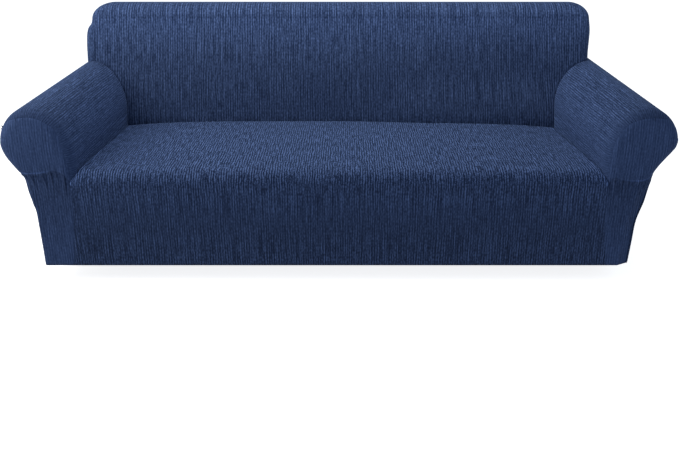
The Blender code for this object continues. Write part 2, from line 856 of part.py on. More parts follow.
# ---------------------------------------------------------------- building
COLOURS = {
    "centre_panel": (0.030, 0.050, 0.125),
    "inside_back": (0.042, 0.066, 0.150),
    "outside_back": (0.034, 0.054, 0.128),
    "arm_wrap": (0.038, 0.060, 0.138),
    "arm_facing": (0.030, 0.052, 0.118),
    "arm_drop": (0.026, 0.044, 0.105),
}


def knit(name):
    material = bpy.data.materials.new(name + "_knit")
    material.use_nodes = True
    shader = material.node_tree.nodes["Principled BSDF"]
    shader.inputs["Base Color"].default_value = (*COLOURS[name], 1)
    shader.inputs["Roughness"].default_value = 0.9
    shader.inputs["Metallic"].default_value = 0.0
    return material


def add_grid(cage, rows, flip):
    """Join a grid of points with faces; a None leaves its faces out."""
    corners = [[cage.verts.new(p) if p is not None else None for p in row] for row in rows]
    for low, high in zip(corners, corners[1:]):
        for a, b, c, d in zip(low, low[1:], high[1:], high):
            if None not in (a, b, c, d):
                cage.faces.new((d, c, b, a) if flip else (a, b, c, d))


def cloth_piece(name, kind, cage, group, frame):
    """Give a surface its thickness, inwards, and put it in the group."""
    bmesh.ops.remove_doubles(cage, verts=cage.verts, dist=0.00002)
    mesh = bpy.data.meshes.new(name)
    cage.to_mesh(mesh)
    cage.free()
    mesh.materials.append(knit(kind))
    mesh.shade_smooth()
    piece = bpy.data.objects.new(name, mesh)
    shell = piece.modifiers.new("cloth", "SOLIDIFY")
    shell.thickness = CLOTH
    shell.offset = -1
    group.objects.link(piece)
    piece.parent = frame


def build():
    for old in list(bpy.data.objects):
        bpy.data.objects.remove(old)
    group = bpy.data.collections.new("sofa_slipcover")
    bpy.context.scene.collection.children.link(group)
    frame = bpy.data.objects.new("cover_frame", None)
    frame.location = [-value for value in MOUNT]
    group.objects.link(frame)

    cage = bmesh.new()
    add_grid(cage, centre_panel(), flip=True)
    cloth_piece("centre_panel", "centre_panel", cage, group, frame)

    face, rim = inside_back()
    cage = bmesh.new()
    add_grid(cage, face, flip=False)
    add_grid(cage, rim, flip=True)
    cloth_piece("inside_back", "inside_back", cage, group, frame)

    cage = bmesh.new()
    corners = [cage.verts.new((x, REAR, z)) for x, z in rear_outline()]
    cage.faces.new(corners)
    cloth_piece("outside_back", "outside_back", cage, group, frame)

    makers = (("arm_wrap", arm_wrap, "right"), ("arm_facing", arm_facing, "left"),
              ("arm_drop", arm_drop, "right"))
    for side in SIDES:
        for kind, make, flipped in makers:
            cage = bmesh.new()
            add_grid(cage, make(side), flip=side == flipped)
            cloth_piece(kind + "_" + side, kind, cage, group, frame)


build()
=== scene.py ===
# %% [markdown]
# # A stretch slipcover for a three-seat sofa with rolled arms
#
# The cover is one knit, cut into nine pieces and sewn: the centre panel over
# the seat and down its front, the inside back, the outside back, and for
# each arm a wrap, a facing on the front of the roll and a drop below it.
# It is shown as it sits, pulled tight over a sofa that is left out.

# %% Opening the frame
import math
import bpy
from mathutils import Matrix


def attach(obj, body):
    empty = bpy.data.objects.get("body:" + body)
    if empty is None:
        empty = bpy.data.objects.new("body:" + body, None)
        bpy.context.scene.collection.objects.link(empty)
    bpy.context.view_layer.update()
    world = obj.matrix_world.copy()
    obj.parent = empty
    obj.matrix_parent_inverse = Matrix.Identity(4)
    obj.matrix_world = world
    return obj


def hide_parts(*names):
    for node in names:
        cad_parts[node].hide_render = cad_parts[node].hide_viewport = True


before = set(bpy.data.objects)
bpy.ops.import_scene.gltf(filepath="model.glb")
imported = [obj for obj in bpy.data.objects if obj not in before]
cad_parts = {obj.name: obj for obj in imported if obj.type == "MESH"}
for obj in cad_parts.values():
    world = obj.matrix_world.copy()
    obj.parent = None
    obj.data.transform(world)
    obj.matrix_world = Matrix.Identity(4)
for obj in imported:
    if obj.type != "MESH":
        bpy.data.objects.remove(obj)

from types import SimpleNamespace

import bmesh
import bpy
import numpy as np
from mathutils import Matrix, Vector, kdtree

for spare in ("Cube", "Camera", "Light"):
    if spare in bpy.data.objects:
        bpy.data.objects.remove(bpy.data.objects[spare])
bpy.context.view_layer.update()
print("nodes of the frame:", sorted(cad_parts))

# %% [markdown]
# ## Measures of the cover
#
# A stretch cover has no shape of its own: it takes the sofa's.  So every
# piece is built from a few outlines of the sofa, in metres from the floor
# and from the front of the arms, and only then moved into the frame.  Free
# sculpting would also give the shape, but neighbours that share one outline
# meet along their seams without any fitting.  An outline is a short table
# of measured places, read smoothly between its rows.

# %% Smooth tables
def smooth_table(*rows):
    """Read columns of numbers smoothly between rows, by the first column."""
    rows = np.array(sorted(rows), float)
    keys, values = rows[:, 0], rows[:, 1:]
    slopes = np.gradient(values, keys, axis=0)

    def read(key, column=0):
        key = np.asarray(key, float)
        i = np.clip(np.searchsorted(keys, key) - 1, 0, len(keys) - 2)
        span = keys[i + 1] - keys[i]
        t = np.clip((key - keys[i]) / span, 0, 1)
        start, end = values[i, column], values[i + 1, column]
        bend = (1 - t) * slopes[i, column] - t * slopes[i + 1, column]
        return start + (end - start) * t * t * (3 - 2 * t) + bend * t * (1 - t) * span

    return read


def mix(a, b, share):
    return a + (b - a) * share


def ease(share):
    share = np.clip(share, 0, 1)
    return share * share * (3 - 2 * share)


print("half way up a step of 1:", float(ease(0.5)))

# %% Seat and back
FLOOR_TO_MOUNT = np.array((0.0, 0.780, 0.846))   # the frame's origin
HEM = 0.072              # height of the hem above the floor
SEAT_TOP = 0.412         # height of the seat's front edge
SEAT_FALL = 0.013        # how much lower the seat is where it meets the back
SEAT_SINK = 0.018        # how much lower still it is in the rear corners
SEAT_CROWN = 0.007       # how much the middle of the seat stands higher
SEAT_NOSE = 0.045        # radius of the seat's front edge
SEAT_EDGE = 0.012        # radius where the seat turns down into a tuck
TUCK_FRONT = 0.378       # height at which the tucked edges end at the front
TUCK_REAR = 0.350        # and from there to the back
SEAM_GAP = 0.0004        # between two pieces that are sewn together

back_face = smooth_table(
    (0.350, 0.583), (0.400, 0.587), (0.450, 0.601), (0.520, 0.623),
    (0.600, 0.649), (0.680, 0.674), (0.793, 0.708),
)
back_outline = smooth_table(
    (0.620, 1.033, 1.014), (0.660, 1.037, 1.017), (0.700, 1.038, 1.021),
    (0.735, 1.036, 1.024), (0.752, 1.031, 1.024), (0.766, 1.020, 1.023),
    (0.786, 1.016, 1.021),
)
BACK_TOP = 0.848
CORNER_LEVEL = 0.786     # where the back's sides turn into its top corners
BACK_NOSE = 0.055        # radius of the top front edge
BACK_SIDE = 0.040        # radius of the side front edges
BACK_FALL = 0.010        # how much the top falls towards the rear
BACK_FOOT = 0.635        # height at which the sides stand on the arms
REAR = 0.865             # depth of the outside back
REAR_EDGE = 0.026        # radius of the rear edges
REAR_CORNER = 0.010      # and where the back stands on an arm
BACK_SWELL = 0.008       # how much the middle of its face stands out
PULL = 0.030             # how much the right half of its foot is pulled forwards
PULL_RISE = 0.16         # how far up from the seat this goes
PULL_RUN = 0.42          # and from the middle to where it is full


def back_depth(x, z):
    """How far behind the arms' front the back's face lies."""
    low = 1 - ease((z - SEAT_TOP) / PULL_RISE)
    up = ease((z - TUCK_REAR) / (CORNER_LEVEL - TUCK_REAR))
    forward = PULL * ease(x / PULL_RUN) * low
    swell = BACK_SWELL * (1 - np.minimum(np.abs(x), 1) ** 2) * np.sin(math.pi * up)
    return back_face(z) - forward - swell


print("the back leans", round(float(back_face(0.79) - back_face(0.42)), 3), "m")

# %% [markdown]
# ## The arms' form
#
# An arm is a wall on the seat's side, a roll over it, and an outer side that
# is drawn in below the roll.  A circle would do for a hard roll, but padding
# sags, so the roll is a superellipse, whose power makes it fuller or slacker.
# The two arms of a worn cover differ a little, so each has its own measures.

# %% Measures of the arms
ROLL_MIDDLE = 0.997      # distance of the roll's highest line from the middle
ROLL_TOP = 0.627
WALL_TOP = 0.450         # where the inner wall starts to roll outwards
ARM_REACH = 0.58         # from the arm's front to where it meets the back
SHOULDER = 0.035         # radius from the roll to its front
OUTSIDE_FOOT = 1.012     # the outer side's hem behind the front
OUTER_POWER = 1.86       # of the roll's outer half; 2 is a circle
INNER_POWERS = (2.0, 1.72)   # of its inner half, at the front and at the rear
TUCK_RUN = 0.25          # how far back the tuck reaches its lowest
STRAIGHT_FROM = 0.03     # depth at which the outer side stops being drawn in
STRAIGHT_RUN = 0.22      # and how long it takes

# height, then half the spread of the left and of the right arm
arm_outline = smooth_table(
    (0.513, 1.0990, 1.1050), (0.505, 1.0990, 1.1045), (0.487, 1.0960, 1.0965),
    (0.458, 1.0850, 1.0755), (0.430, 1.0675, 1.0555), (0.402, 1.0480, 1.0405),
    (0.388, 1.0385, 1.0380), (0.370, 1.0325, 1.0365), (0.352, 1.0276, 1.0325),
    (0.334, 1.0220, 1.0275), (0.316, 1.0155, 1.0235), (0.298, 1.0115, 1.0200),
    (0.280, 1.0070, 1.0150), (0.262, 1.0050, 1.0100), (0.243, 1.0045, 1.0050),
    (0.222, 1.0038, 1.0015), (0.150, 1.0018, 0.9970), (0.072, 1.0006, 0.9920),
)
# height, then the seam between the centre panel and each arm's front
front_seam = smooth_table(
    (0.378, 0.879, 0.888), (0.300, 0.880, 0.887), (0.200, 0.886, 0.894),
    (0.130, 0.894, 0.903), (0.072, 0.901, 0.910),
)
# share of the way across, then the height of each facing's lower seam
facing_seam = smooth_table(
    (0.00, 0.3780, 0.3780), (0.06, 0.3980, 0.3910), (0.15, 0.4120, 0.3945),
    (0.27, 0.4195, 0.3870), (0.40, 0.4130, 0.3825), (0.55, 0.4090, 0.3810),
    (0.70, 0.4090, 0.3860), (0.85, 0.4130, 0.3990), (1.00, 0.3980, 0.4040),
)
# degrees round the roll, then how far inside its edge each facing's seam runs
facing_inset = smooth_table(
    (0, 0.0000, 0.0000), (30, 0.0015, 0.0012), (48, 0.0090, 0.0075),
    (58, 0.0165, 0.0145), (70, 0.0220, 0.0225), (85, 0.0250, 0.0270),
    (98, 0.0240, 0.0275), (112, 0.0215, 0.0245), (126, 0.0185, 0.0180),
    (139, 0.0153, 0.0150), (150, 0.0190, 0.0142), (163, 0.0240, 0.0145),
    (177, 0.0220, 0.0150), (190, 0.0150, 0.0110), (200, 0.0170, 0.0159),
)
# An arm's tuck value is painted light: how much paler its wrap is painted just above the tuck, where
# shade falls.
LEFT = SimpleNamespace(
    name="left", sign=-1, column=0, roll_reach=0.102,
    roll_level=0.505, wrap_tuck_light=0.20, wall_front=0.862,
    wall_rear=0.862, drop_corner=0.008, cut_corner=0, corner_width=0.086,
)
RIGHT = SimpleNamespace(
    name="right", sign=1, column=1, roll_reach=0.108,
    roll_level=0.513, wrap_tuck_light=0.60, wall_front=0.872,
    wall_rear=0.860, drop_corner=0.020, cut_corner=1, corner_width=0.076,
)
print("the arms spread", round(2 * ROLL_MIDDLE + LEFT.roll_reach + RIGHT.roll_reach, 3), "m")

# %% Points of an arm
def wall(side, y):
    return mix(side.wall_front, side.wall_rear, ease(y / ARM_REACH))


def tuck_foot(y):
    return mix(TUCK_FRONT, TUCK_REAR, ease((y - SEAT_NOSE) / TUCK_RUN))


def inner_round(y):
    """The roll is a circle at the front and slacker towards the back."""
    return 2 / mix(*INNER_POWERS, ease(y / ARM_REACH))


OUTER_ROUND = 2 / OUTER_POWER


def roll_point(side, angle, y):
    """A point round the roll: 180 degrees is the wall, 0 the outer side."""
    turn = np.radians(angle)
    outer = np.asarray(angle) <= 90
    power = np.where(outer, OUTER_ROUND, inner_round(y))
    level = np.where(outer, side.roll_level, WALL_TOP)
    across = np.where(outer, side.roll_reach, wall(side, y) - ROLL_MIDDLE)
    x = ROLL_MIDDLE + across * np.abs(np.cos(turn)) ** power
    return x, level + (ROLL_TOP - level) * np.abs(np.sin(turn)) ** power


def roll_angle(side, x, y):
    if x >= ROLL_MIDDLE:
        share = (x - ROLL_MIDDLE) / side.roll_reach
        return np.degrees(np.arccos(share ** (1 / OUTER_ROUND)))
    share = np.minimum((ROLL_MIDDLE - x) / (ROLL_MIDDLE - wall(side, y)), 1)
    return 180 - np.degrees(np.arccos(share ** (1 / inner_round(y))))


def outer_x(side, z, y):
    """The arm's outer side: drawn in at the front, straight behind it."""
    share = np.clip((side.roll_level - z) / (side.roll_level - HEM), 0, 1)
    straight = mix(ROLL_MIDDLE + side.roll_reach, OUTSIDE_FOOT, share ** 0.9)
    behind = ease((y - STRAIGHT_FROM) / STRAIGHT_RUN)
    return mix(arm_outline(z, side.column), straight, behind)


print("left roll, half way round:", [round(float(v), 3) for v in roll_point(LEFT, 90, 0)])

# %% [markdown]
# ## Lines along an arm
#
# Each arm is described by lines that run from its front to its rear: up the
# inner wall, over the roll and down the outer side to the hem.  The wrap is
# woven from these lines, and the facing, the inside back and the outside
# back take their edges from them.  Cutting each seam into a finished roll
# afterwards would be more work, and its edges would come out ragged.

# %% Arm lines
SIDE_STEPS = 8           # faces round the front edges of the back's sides
NEAR_LINES = 4           # neighbours on each side that a direction is averaged with


def arm_lines(side):
    """Kind and value of each line: wall share, roll angle, top x or height."""
    edge = back_outline(BACK_FOOT, side.column)
    start = edge - BACK_SIDE
    rear = back_depth(side.sign * start, ROLL_TOP)
    first, last = roll_angle(side, start, rear), roll_angle(side, edge, rear)
    low = facing_seam(1, side.column)
    lines = [("wall", v) for v in np.linspace(0, 1, 12)[:-1]]
    lines += [("roll", v) for v in np.linspace(180, first, 36)[:-1]]
    lines += [("top", start + BACK_SIDE * math.sin(v))
              for v in np.linspace(0, math.pi / 2, SIDE_STEPS + 1)]
    lines += [("roll", v) for v in np.linspace(last, 0, 26)[1:]]
    lines += [("outer", v) for v in np.linspace(side.roll_level, low, 20)[1:]]
    lines += [("outer", v) for v in np.linspace(low, HEM, 44)[1:]]
    return lines


def line_point(side, line, y):
    """Where a line is at a depth: distance from the middle, and height."""
    kind, value = line
    if kind == "wall":
        return wall(side, y), mix(tuck_foot(y), WALL_TOP, value)
    if kind == "roll":
        return roll_point(side, value, y)
    if kind == "top":
        return roll_point(side, roll_angle(side, value, y), y)
    return outer_x(side, value, y), np.full_like(np.asarray(y, float), value)


def outline_at(side, y):
    """The arm's outline at a depth, from the foot of its wall to the hem."""
    return np.array([line_point(side, line, y) for line in side.lines], float)


def outward(points):
    """Unit normals of an outline that runs from the wall to the hem.

    Each is averaged with its neighbours, so that no tight bend folds over.
    """
    steps = np.linalg.norm(np.diff(points, axis=0), axis=1)
    along = np.gradient(points, np.append(0, np.cumsum(steps)), axis=0)
    normals = np.stack((-along[:, 1], along[:, 0]), axis=1)
    normals /= np.linalg.norm(normals, axis=1)[:, None]
    padded = np.pad(normals, ((NEAR_LINES, NEAR_LINES), (0, 0)), mode="edge")
    normals = sum(padded[k:k + len(points)] for k in range(2 * NEAR_LINES + 1))
    return normals / np.linalg.norm(normals, axis=1)[:, None]


def edge_line(lines):
    """Where the back's side face meets the roll."""
    return max(i for i, line in enumerate(lines) if line[0] == "top")


def seam_line(side, lines):
    """The lowest line that borders the facing."""
    low = facing_seam(1, side.column) + 1e-6
    return min(i for i, line in enumerate(lines) if line[0] == "outer" and line[1] <= low)


def junction_depth(side, line):
    """Where a line of the arm meets the back's front."""
    start = back_outline(BACK_FOOT, side.column) - BACK_SIDE
    y = 0.6
    for _ in range(6):
        x, z = line_point(side, line, y)
        turn = math.asin(np.clip((x - start) / BACK_SIDE, 0, 1))
        y = back_depth(side.sign * min(x, start), z) + BACK_SIDE * (1 - math.cos(turn))
    return float(y)


for side in (LEFT, RIGHT):
    side.lines = arm_lines(side)
    side.edge = edge_line(side.lines)
    side.low = seam_line(side, side.lines)
    side.depths = [junction_depth(side, line) for line in side.lines[:side.edge + 1]]
    print(side.name, "arm:", len(side.lines), "lines")

# %% [markdown]
# ## The rounded front edge
#
# Padding rounds an arm's edge from the roll to its flat front.  The seam of
# the facing lies on that rounded edge, now nearer the front and now nearer
# the roll, so places on it are given as a distance along the edge.  A bevel
# could round it too, but would not say where the seam runs.

# %% The rounded front edge
CORNER_RUN = 0.10        # how far below the facing the outer corner gets sharper


def shoulder(along, radius):
    """Inset and depth on a rounded edge; negative distances are in front."""
    quarter = radius * math.pi / 2
    turn = math.pi / 2 + np.clip(along, -quarter, 0) / radius
    beyond = np.maximum(-along - quarter, 0)
    inset = radius * (1 - np.sin(turn)) + beyond
    return inset, radius * (1 - np.cos(turn)) + np.maximum(along, 0)


def shoulder_along(inset, radius):
    if inset >= radius:
        return -(inset - radius) - radius * math.pi / 2
    return -radius * (math.pi / 2 - math.asin(1 - inset / radius))


def sharpness(side, z):
    """0 at the facing's seam and above, 1 where the corner is sharpest."""
    return ease((facing_seam(1, side.column) - z) / CORNER_RUN)


def front_radius(side, line):
    if line[0] != "outer":
        return SHOULDER
    return float(mix(SHOULDER, side.drop_corner, sharpness(side, line[1])))


def line_angle(side, line):
    """Degrees round the roll; the wall goes on from 180 down to 200."""
    kind, value = line
    if kind == "wall":
        return mix(200, 180, value)
    if kind == "roll":
        return value
    return roll_angle(side, value, SHOULDER) if kind == "top" else 0


def facing_edge(side):
    """Where the facing's seam crosses each line, along the shoulder."""
    along = []
    for i, line in enumerate(side.lines):
        inset = facing_inset(line_angle(side, line), side.column) if i < side.low else 0
        along.append(shoulder_along(max(float(inset), 0), front_radius(side, line)))
    return along


for side in (LEFT, RIGHT):
    side.cut = facing_edge(side)
    print(side.name, "facing's seam: up to", round(-min(side.cut), 3), "m round the edge")

# %% [markdown]
# ## Wrap of an arm
#
# The wrap is one long piece that covers the wall, the roll and the outer
# side.  Beside the back it ends in a tuck, and further out it runs on to the
# rear and round the rear edge.  It is woven line by line rather than draped:
# a stretched cover follows its form, so there is nothing left to simulate.

# %% Arm wrap
SHOULDER_END = 0.012     # how far fine rows go on behind the rounded edge
REAR_TURN = np.radians((0, 18, 36, 54, 72, 90))
REAR_LINES = 12          # over so many lines the rear edge gets its full radius


def rear_run(start, radius):
    """Depths and insets from the back's side to the rear face."""
    level = REAR - radius
    flat = np.linspace(start, level, 20)[1:]
    y = np.append(flat, level + radius * np.sin(REAR_TURN[1:]))
    return y, np.append(flat * 0, radius * (1 - np.cos(REAR_TURN[1:])))


def rear_outline(side):
    """The arm's outline at the rear, its outward directions and its radii."""
    outline = outline_at(side, REAR)
    out = outward(outline)
    out[side.edge] = (1, 1)
    beyond = np.arange(len(side.lines)) - side.edge
    return outline, out, mix(REAR_CORNER, REAR_EDGE, ease(beyond / REAR_LINES))


def arm_wrap(side):
    front_out = outward(outline_at(side, SHOULDER))
    _, rear_out, radii = rear_outline(side)
    rows = []
    for i, line in enumerate(side.lines):
        radius = front_radius(side, line)
        inset, y = shoulder(np.linspace(side.cut[i] + SEAM_GAP, SHOULDER_END, 15), radius)
        end = side.depths[min(i, side.edge)]
        stop = end - SEAM_GAP * (i <= side.edge)
        reach = mix(radius + SHOULDER_END, stop, np.linspace(0, 1, 70)[1:])
        y = np.append(y, reach)
        inset = np.append(inset, reach * 0)
        x, z = line_point(side, line, y)
        x = x - front_out[i, 0] * inset
        z = z - front_out[i, 1] * inset
        row = np.stack((x, y, z), axis=1)
        if i == side.edge:
            row[:, 0] += np.linspace(0, SEAM_GAP, len(row))
        rear_y, rear_inset = rear_run(end, radii[i])
        x, z = line_point(side, line, rear_y)
        x = x - rear_out[i, 0] * rear_inset + SEAM_GAP * (i == side.edge)
        z = z - rear_out[i, 1] * rear_inset
        rear = np.stack((x, rear_y, z), axis=1)
        rows.append(np.concatenate((row, rear if i >= side.edge else rear * np.nan)))
    return np.array(rows) * (side.sign, 1, 1)


for side in (LEFT, RIGHT):
    side.wrap = arm_wrap(side)
    print(side.name, "wrap:", side.wrap.shape[:2], "points")

# %% [markdown]
# ## Facing and drop
#
# The facing caps the front of a roll.  It is drawn flat and then bent back
# round the roll's edge, as the sewn piece is.  The drop hangs below it and
# is gathered into its seam, which leaves short creases on both sides of the
# seam and a ridge where the allowances lie.  Simulated cloth would gather by
# itself, but not at the right places, so each crease is set one by one.

# %% Gathers
GATHER_DEPTH = 0.0042    # of the creases that gather the drop into its seam
GATHER_REACH = 0.090     # how far down they run
GATHER_WIDTH = 0.020     # of one crease, as a share of the way across
FULLNESS = 0.0025        # how much the cloth between them stands out
PUCKER_DEPTH = 0.0011    # of their continuation up into the facing
PUCKER_REACH = 0.040
RIDGE = 0.0018           # how high the seam allowance lifts the facing's edge
RIDGE_PLACE = 0.0040     # above the seam
RIDGE_WIDTH = 0.0024
RIDGE_FROM = 0.25        # the ridge starts here, as a share of the way across,
RIDGE_RISE = 0.30        # and takes this much more to reach its full height
END_FADE = 0.05          # relief dies out so close to the ends of a seam
CREASE_STRENGTHS = (1.0, 0.65, 0.85)
LEFT.creases = (0.10, 0.24, 0.34, 0.49, 0.61, 0.71, 0.83, 0.93)
RIGHT.creases = (0.12, 0.25, 0.37, 0.475, 0.575, 0.65, 0.74, 0.83, 0.93)


def gathers(side, share):
    """How deep into a crease each place across the seam lies, 0 to 1."""
    total = 0
    for i, place in enumerate(side.creases):
        depth = CREASE_STRENGTHS[i % 3]
        total = total + depth * np.exp(-((share - place) / GATHER_WIDTH) ** 2)
    return total


def away_from_ends(share):
    return ease(np.minimum(share, 1 - share) / END_FADE)


def puff(grid, height, outside):
    """Move a grid along its own normals; outside is 1 or -1."""
    normals = np.cross(np.gradient(grid, axis=1), np.gradient(grid, axis=0))
    normals /= np.maximum(np.linalg.norm(normals, axis=2), 1e-9)[..., None]
    return grid + normals * (height * outside)[..., None]


def arc_lengths(grid, axis):
    """Distance along the cloth from the first row or column."""
    steps = np.linalg.norm(np.diff(grid, axis=axis), axis=2)
    start = np.zeros_like(np.take(steps, [0], axis=axis))
    return np.concatenate((start, np.cumsum(np.nan_to_num(steps), axis=axis)), axis=axis)


print("creases:", len(LEFT.creases), "on the left and", len(RIGHT.creases), "on the right")

# %% Grids between edges
ACROSS = 90              # faces across a facing or drop


def patch(left, right, bottom, top):
    """A grid between four edges, each a list of points; rows run upwards."""
    left, right, bottom, top = (np.array(edge, float) for edge in (left, right, bottom, top))
    up = np.linspace(0, 1, len(left))[:, None, None]
    across = np.linspace(0, 1, len(bottom))[None, :, None]
    sides = mix(left[:, None], right[:, None], across)
    ends = mix(bottom[None], top[None], up)
    low = mix(bottom[0], bottom[-1], across)
    high = mix(top[0], top[-1], across)
    return sides + ends - mix(low, high, up)


def resample(points, count):
    """The same line as evenly spaced points."""
    points = np.array(points, float)
    steps = np.linalg.norm(np.diff(points, axis=0), axis=1)
    along = np.append(0, np.cumsum(steps))
    where = np.linspace(0, along[-1], count + 1)
    return np.stack([np.interp(where, along, column) for column in points.T], axis=1)


# %% Facing of a roll
FACING_FILL = 0.005      # how much a facing is filled out
RIDGE_HIGHLIGHT = 0.70        # painted highlight along the ridge: how much paler it is
CREASE_SHADE = 0.12       # painted shade in a crease: how much darker it is


class Facing:
    """The flat facing of a roll, bent back round the roll's front edge."""

    def __init__(self, side):
        self.side = side
        outline = outline_at(side, SHOULDER)
        self.out = outward(outline)[:side.low + 1]
        self.flat = outline[:side.low + 1] - self.out * SHOULDER
        reach = SHOULDER * math.pi / 2 + np.array(side.cut[:side.low + 1])
        self.edge = self.flat + self.out * (reach[:, None] - SEAM_GAP)

    def bend(self, points):
        """Where points of the flat facing lie once it is bent."""
        start, run = self.flat[:-1], np.diff(self.flat, axis=0)
        share = ((points[:, None] - start) * run).sum(2) / (run * run).sum(1)
        share = np.clip(share, 0, 1)[..., None]
        near = start + run * share
        best = np.linalg.norm(points[:, None] - near, axis=2).argmin(1)
        pick = np.arange(len(points))
        out = mix(self.out[:-1][best], self.out[1:][best], share[pick, best])
        out /= np.linalg.norm(out, axis=1)[:, None]
        beyond = ((points - near[pick, best]) * out).sum(1)
        turn = np.clip(beyond / SHOULDER, 0, math.pi / 2)
        shift = np.where(beyond > 0, SHOULDER * np.sin(turn) - beyond, 0)
        moved = points + out * shift[:, None]
        depth = SHOULDER * (1 - np.cos(turn))
        return np.stack((moved[:, 0], depth, moved[:, 1]), axis=1)

    def flat_seam(self, share):
        """Points of the flat facing's lower edge, brought to its outer end."""
        start, end = self.edge[0], self.edge[-1]
        drop = end[1] - facing_seam(1, self.side.column)
        height = facing_seam(share, self.side.column) + drop * ease((share - 0.6) / 0.4)
        return np.stack((mix(start[0], end[0], share), height), axis=1)


def arm_facing(side):
    facing = Facing(side)
    cut = resample(facing.edge, ACROSS * 3)
    left, top, right = cut[:ACROSS + 1], cut[ACROSS:2 * ACROSS + 1], cut[:2 * ACROSS - 1:-1]
    bottom = facing.flat_seam(np.linspace(0, 1, ACROSS + 1))
    bottom[0], bottom[-1] = left[0], right[0]
    flat = patch(left, right, bottom, top)
    grid = facing.bend(flat.reshape(-1, 2)).reshape(*flat.shape[:2], 3)
    up = np.sin(np.linspace(0, math.pi, len(flat)))[:, None]
    across = np.sin(np.linspace(0, math.pi, ACROSS + 1))[None]
    grid[..., 1] -= FACING_FILL * up * across
    grid = grid * (side.sign, 1, 1)
    shares = np.linspace(0, 1, ACROSS + 1)
    above = arc_lengths(grid, 0)
    folds = gathers(side, shares) * (1 - ease(above / PUCKER_REACH))
    ends = away_from_ends(shares)
    ridge = np.exp(-((above - RIDGE_PLACE) / RIDGE_WIDTH) ** 2) * ends
    ridge = ridge * ease((shares - RIDGE_FROM) / RIDGE_RISE)
    # Painted highlight on the ridge and painted shade in the creases.
    side.facing_shade = 1 + RIDGE_HIGHLIGHT * ridge - CREASE_SHADE * folds * ends
    return puff(grid, RIDGE * ridge - PUCKER_DEPTH * folds * ends, -side.sign), flat


for side in (LEFT, RIGHT):
    side.facing, side.facing_flat = arm_facing(side)
    print(side.name, "facing:", side.facing.shape[:2], "points")

# %% Drop below a facing
DROP_ROWS = 100
ROW_POWER = 1.25         # above 1 the rows lie closer together near the seam
CUT_WIDTH = 2.1          # of the flat corner, by its depth
JOIN_FADES = (0.07, 0.45)    # share of the drop that follows the seam: inner end, rest
JOIN_FADE_RUN = 0.2      # share of the way across between these two
SEAM_HOLD = 0.4          # how much of a crease's depth there is at the very seam
SEAM_HOLD_RUN = 0.012    # and how far below it the crease is full
FULLNESS_REACH = 0.075
# painted shade in the drop's creases
DROP_CREASE_SHADE = 0.25


def drop_path(side, z, share):
    """A point across the drop: along its front, then round its corner.

    The corner is round where cut_corner is 0 and cut off flat where it is 1.
    """
    inner = front_seam(z, side.column) + SEAM_GAP
    low = sharpness(side, z)
    radius = mix(SHOULDER, side.drop_corner, low)
    cut = side.cut_corner * low
    width = radius * mix(1, CUT_WIDTH, cut)
    flat_end = outer_x(side, z, radius) - width
    bend = mix(radius * math.pi / 2, np.hypot(width, radius), cut)
    reach = inner + (flat_end - inner + bend - SEAM_GAP) * share
    beyond = np.clip((reach - flat_end) / bend, 0, 1)
    turn = beyond * math.pi / 2
    x = np.minimum(reach, flat_end) + width * mix(np.sin(turn), beyond, cut)
    return np.stack((x, radius * mix(1 - np.cos(turn), beyond, cut), z), axis=-1)


def arm_drop(side):
    facing = Facing(side)
    shares = np.linspace(0, 1, ACROSS + 1)
    seams = facing.bend(facing.flat_seam(shares)) - (0, 0, SEAM_GAP)
    rows = np.linspace(0, 1, DROP_ROWS + 1) ** ROW_POWER
    columns = []
    for share, seam in zip(shares, seams):
        z = mix(seam[2], HEM, rows)
        first = drop_path(side, z[:1], share)
        point = drop_path(side, z, share)
        fade = mix(*JOIN_FADES, ease(share / JOIN_FADE_RUN))
        point = point + (seam - first) * (1 - ease(rows / fade))[:, None]
        columns.append(point)
    grid = np.array(columns).swapaxes(0, 1) * (side.sign, 1, 1)
    below = grid[:1, :, 2] - grid[..., 2]
    free = ease(below / SEAM_HOLD_RUN)
    held = mix(SEAM_HOLD, 1.0, free) * (1 - ease(below / GATHER_REACH))
    folds = gathers(side, shares)
    fullness = FULLNESS * free * (1 - ease(below / FULLNESS_REACH))
    # Painted shade in the creases below the seam.
    side.drop_shade = 1 - DROP_CREASE_SHADE * folds * held
    relief = (fullness - GATHER_DEPTH * folds * held) * away_from_ends(shares)
    return puff(grid, relief, side.sign)


for side in (LEFT, RIGHT):
    side.drop = arm_drop(side)
    print(side.name, "drop:", side.drop.shape[:2], "points")

# %% [markdown]
# ## Centre panel
#
# One long piece from the tuck at the back, over the seat and its rounded
# front edge, and straight down to the hem.  On a real sofa it is pushed into
# the gaps beside the arms, so its sides turn down there.  It is made of
# columns that run its whole length, as the knit's ribs do, because a grid
# that follows the ribs also carries their pattern without any twist.

# %% Height and width of the seat
TUCK_GAP = 0.0015        # between the seat and an arm, where it is widest
FOOT_GAP = 0.003         # between the tucked end and the inside back
HALF_WAY_BACK = 0.3      # depth at which the arms' distance is taken for the tuck


def seat_height(share, y):
    back = np.clip((y - SEAT_NOSE) / (ARM_REACH - SEAT_NOSE), 0, 1)
    crown = SEAT_CROWN * np.sin(math.pi * back) * (1 - abs(share) ** 4)
    sink = SEAT_SINK * ease(back) * abs(share) ** 5
    return SEAT_TOP - SEAT_FALL * back + crown - sink


def seat_half(side, y, z):
    """Half the panel's width on one side, up to the arm or the front seam."""
    seam = front_seam(np.minimum(z, TUCK_FRONT), side.column) - SEAM_GAP
    depth = np.clip(SHOULDER - y, 0, SHOULDER)
    inset = SHOULDER - np.sqrt(SHOULDER ** 2 - depth ** 2)
    gap = mix(SEAM_GAP, TUCK_GAP, np.clip(y / SHOULDER, 0, 1))
    half = wall(side, y) + inset - gap
    half = np.where(y < SHOULDER, np.minimum(half, seam), half)
    return np.where((z < TUCK_FRONT) & (y < SEAT_NOSE), seam, half)


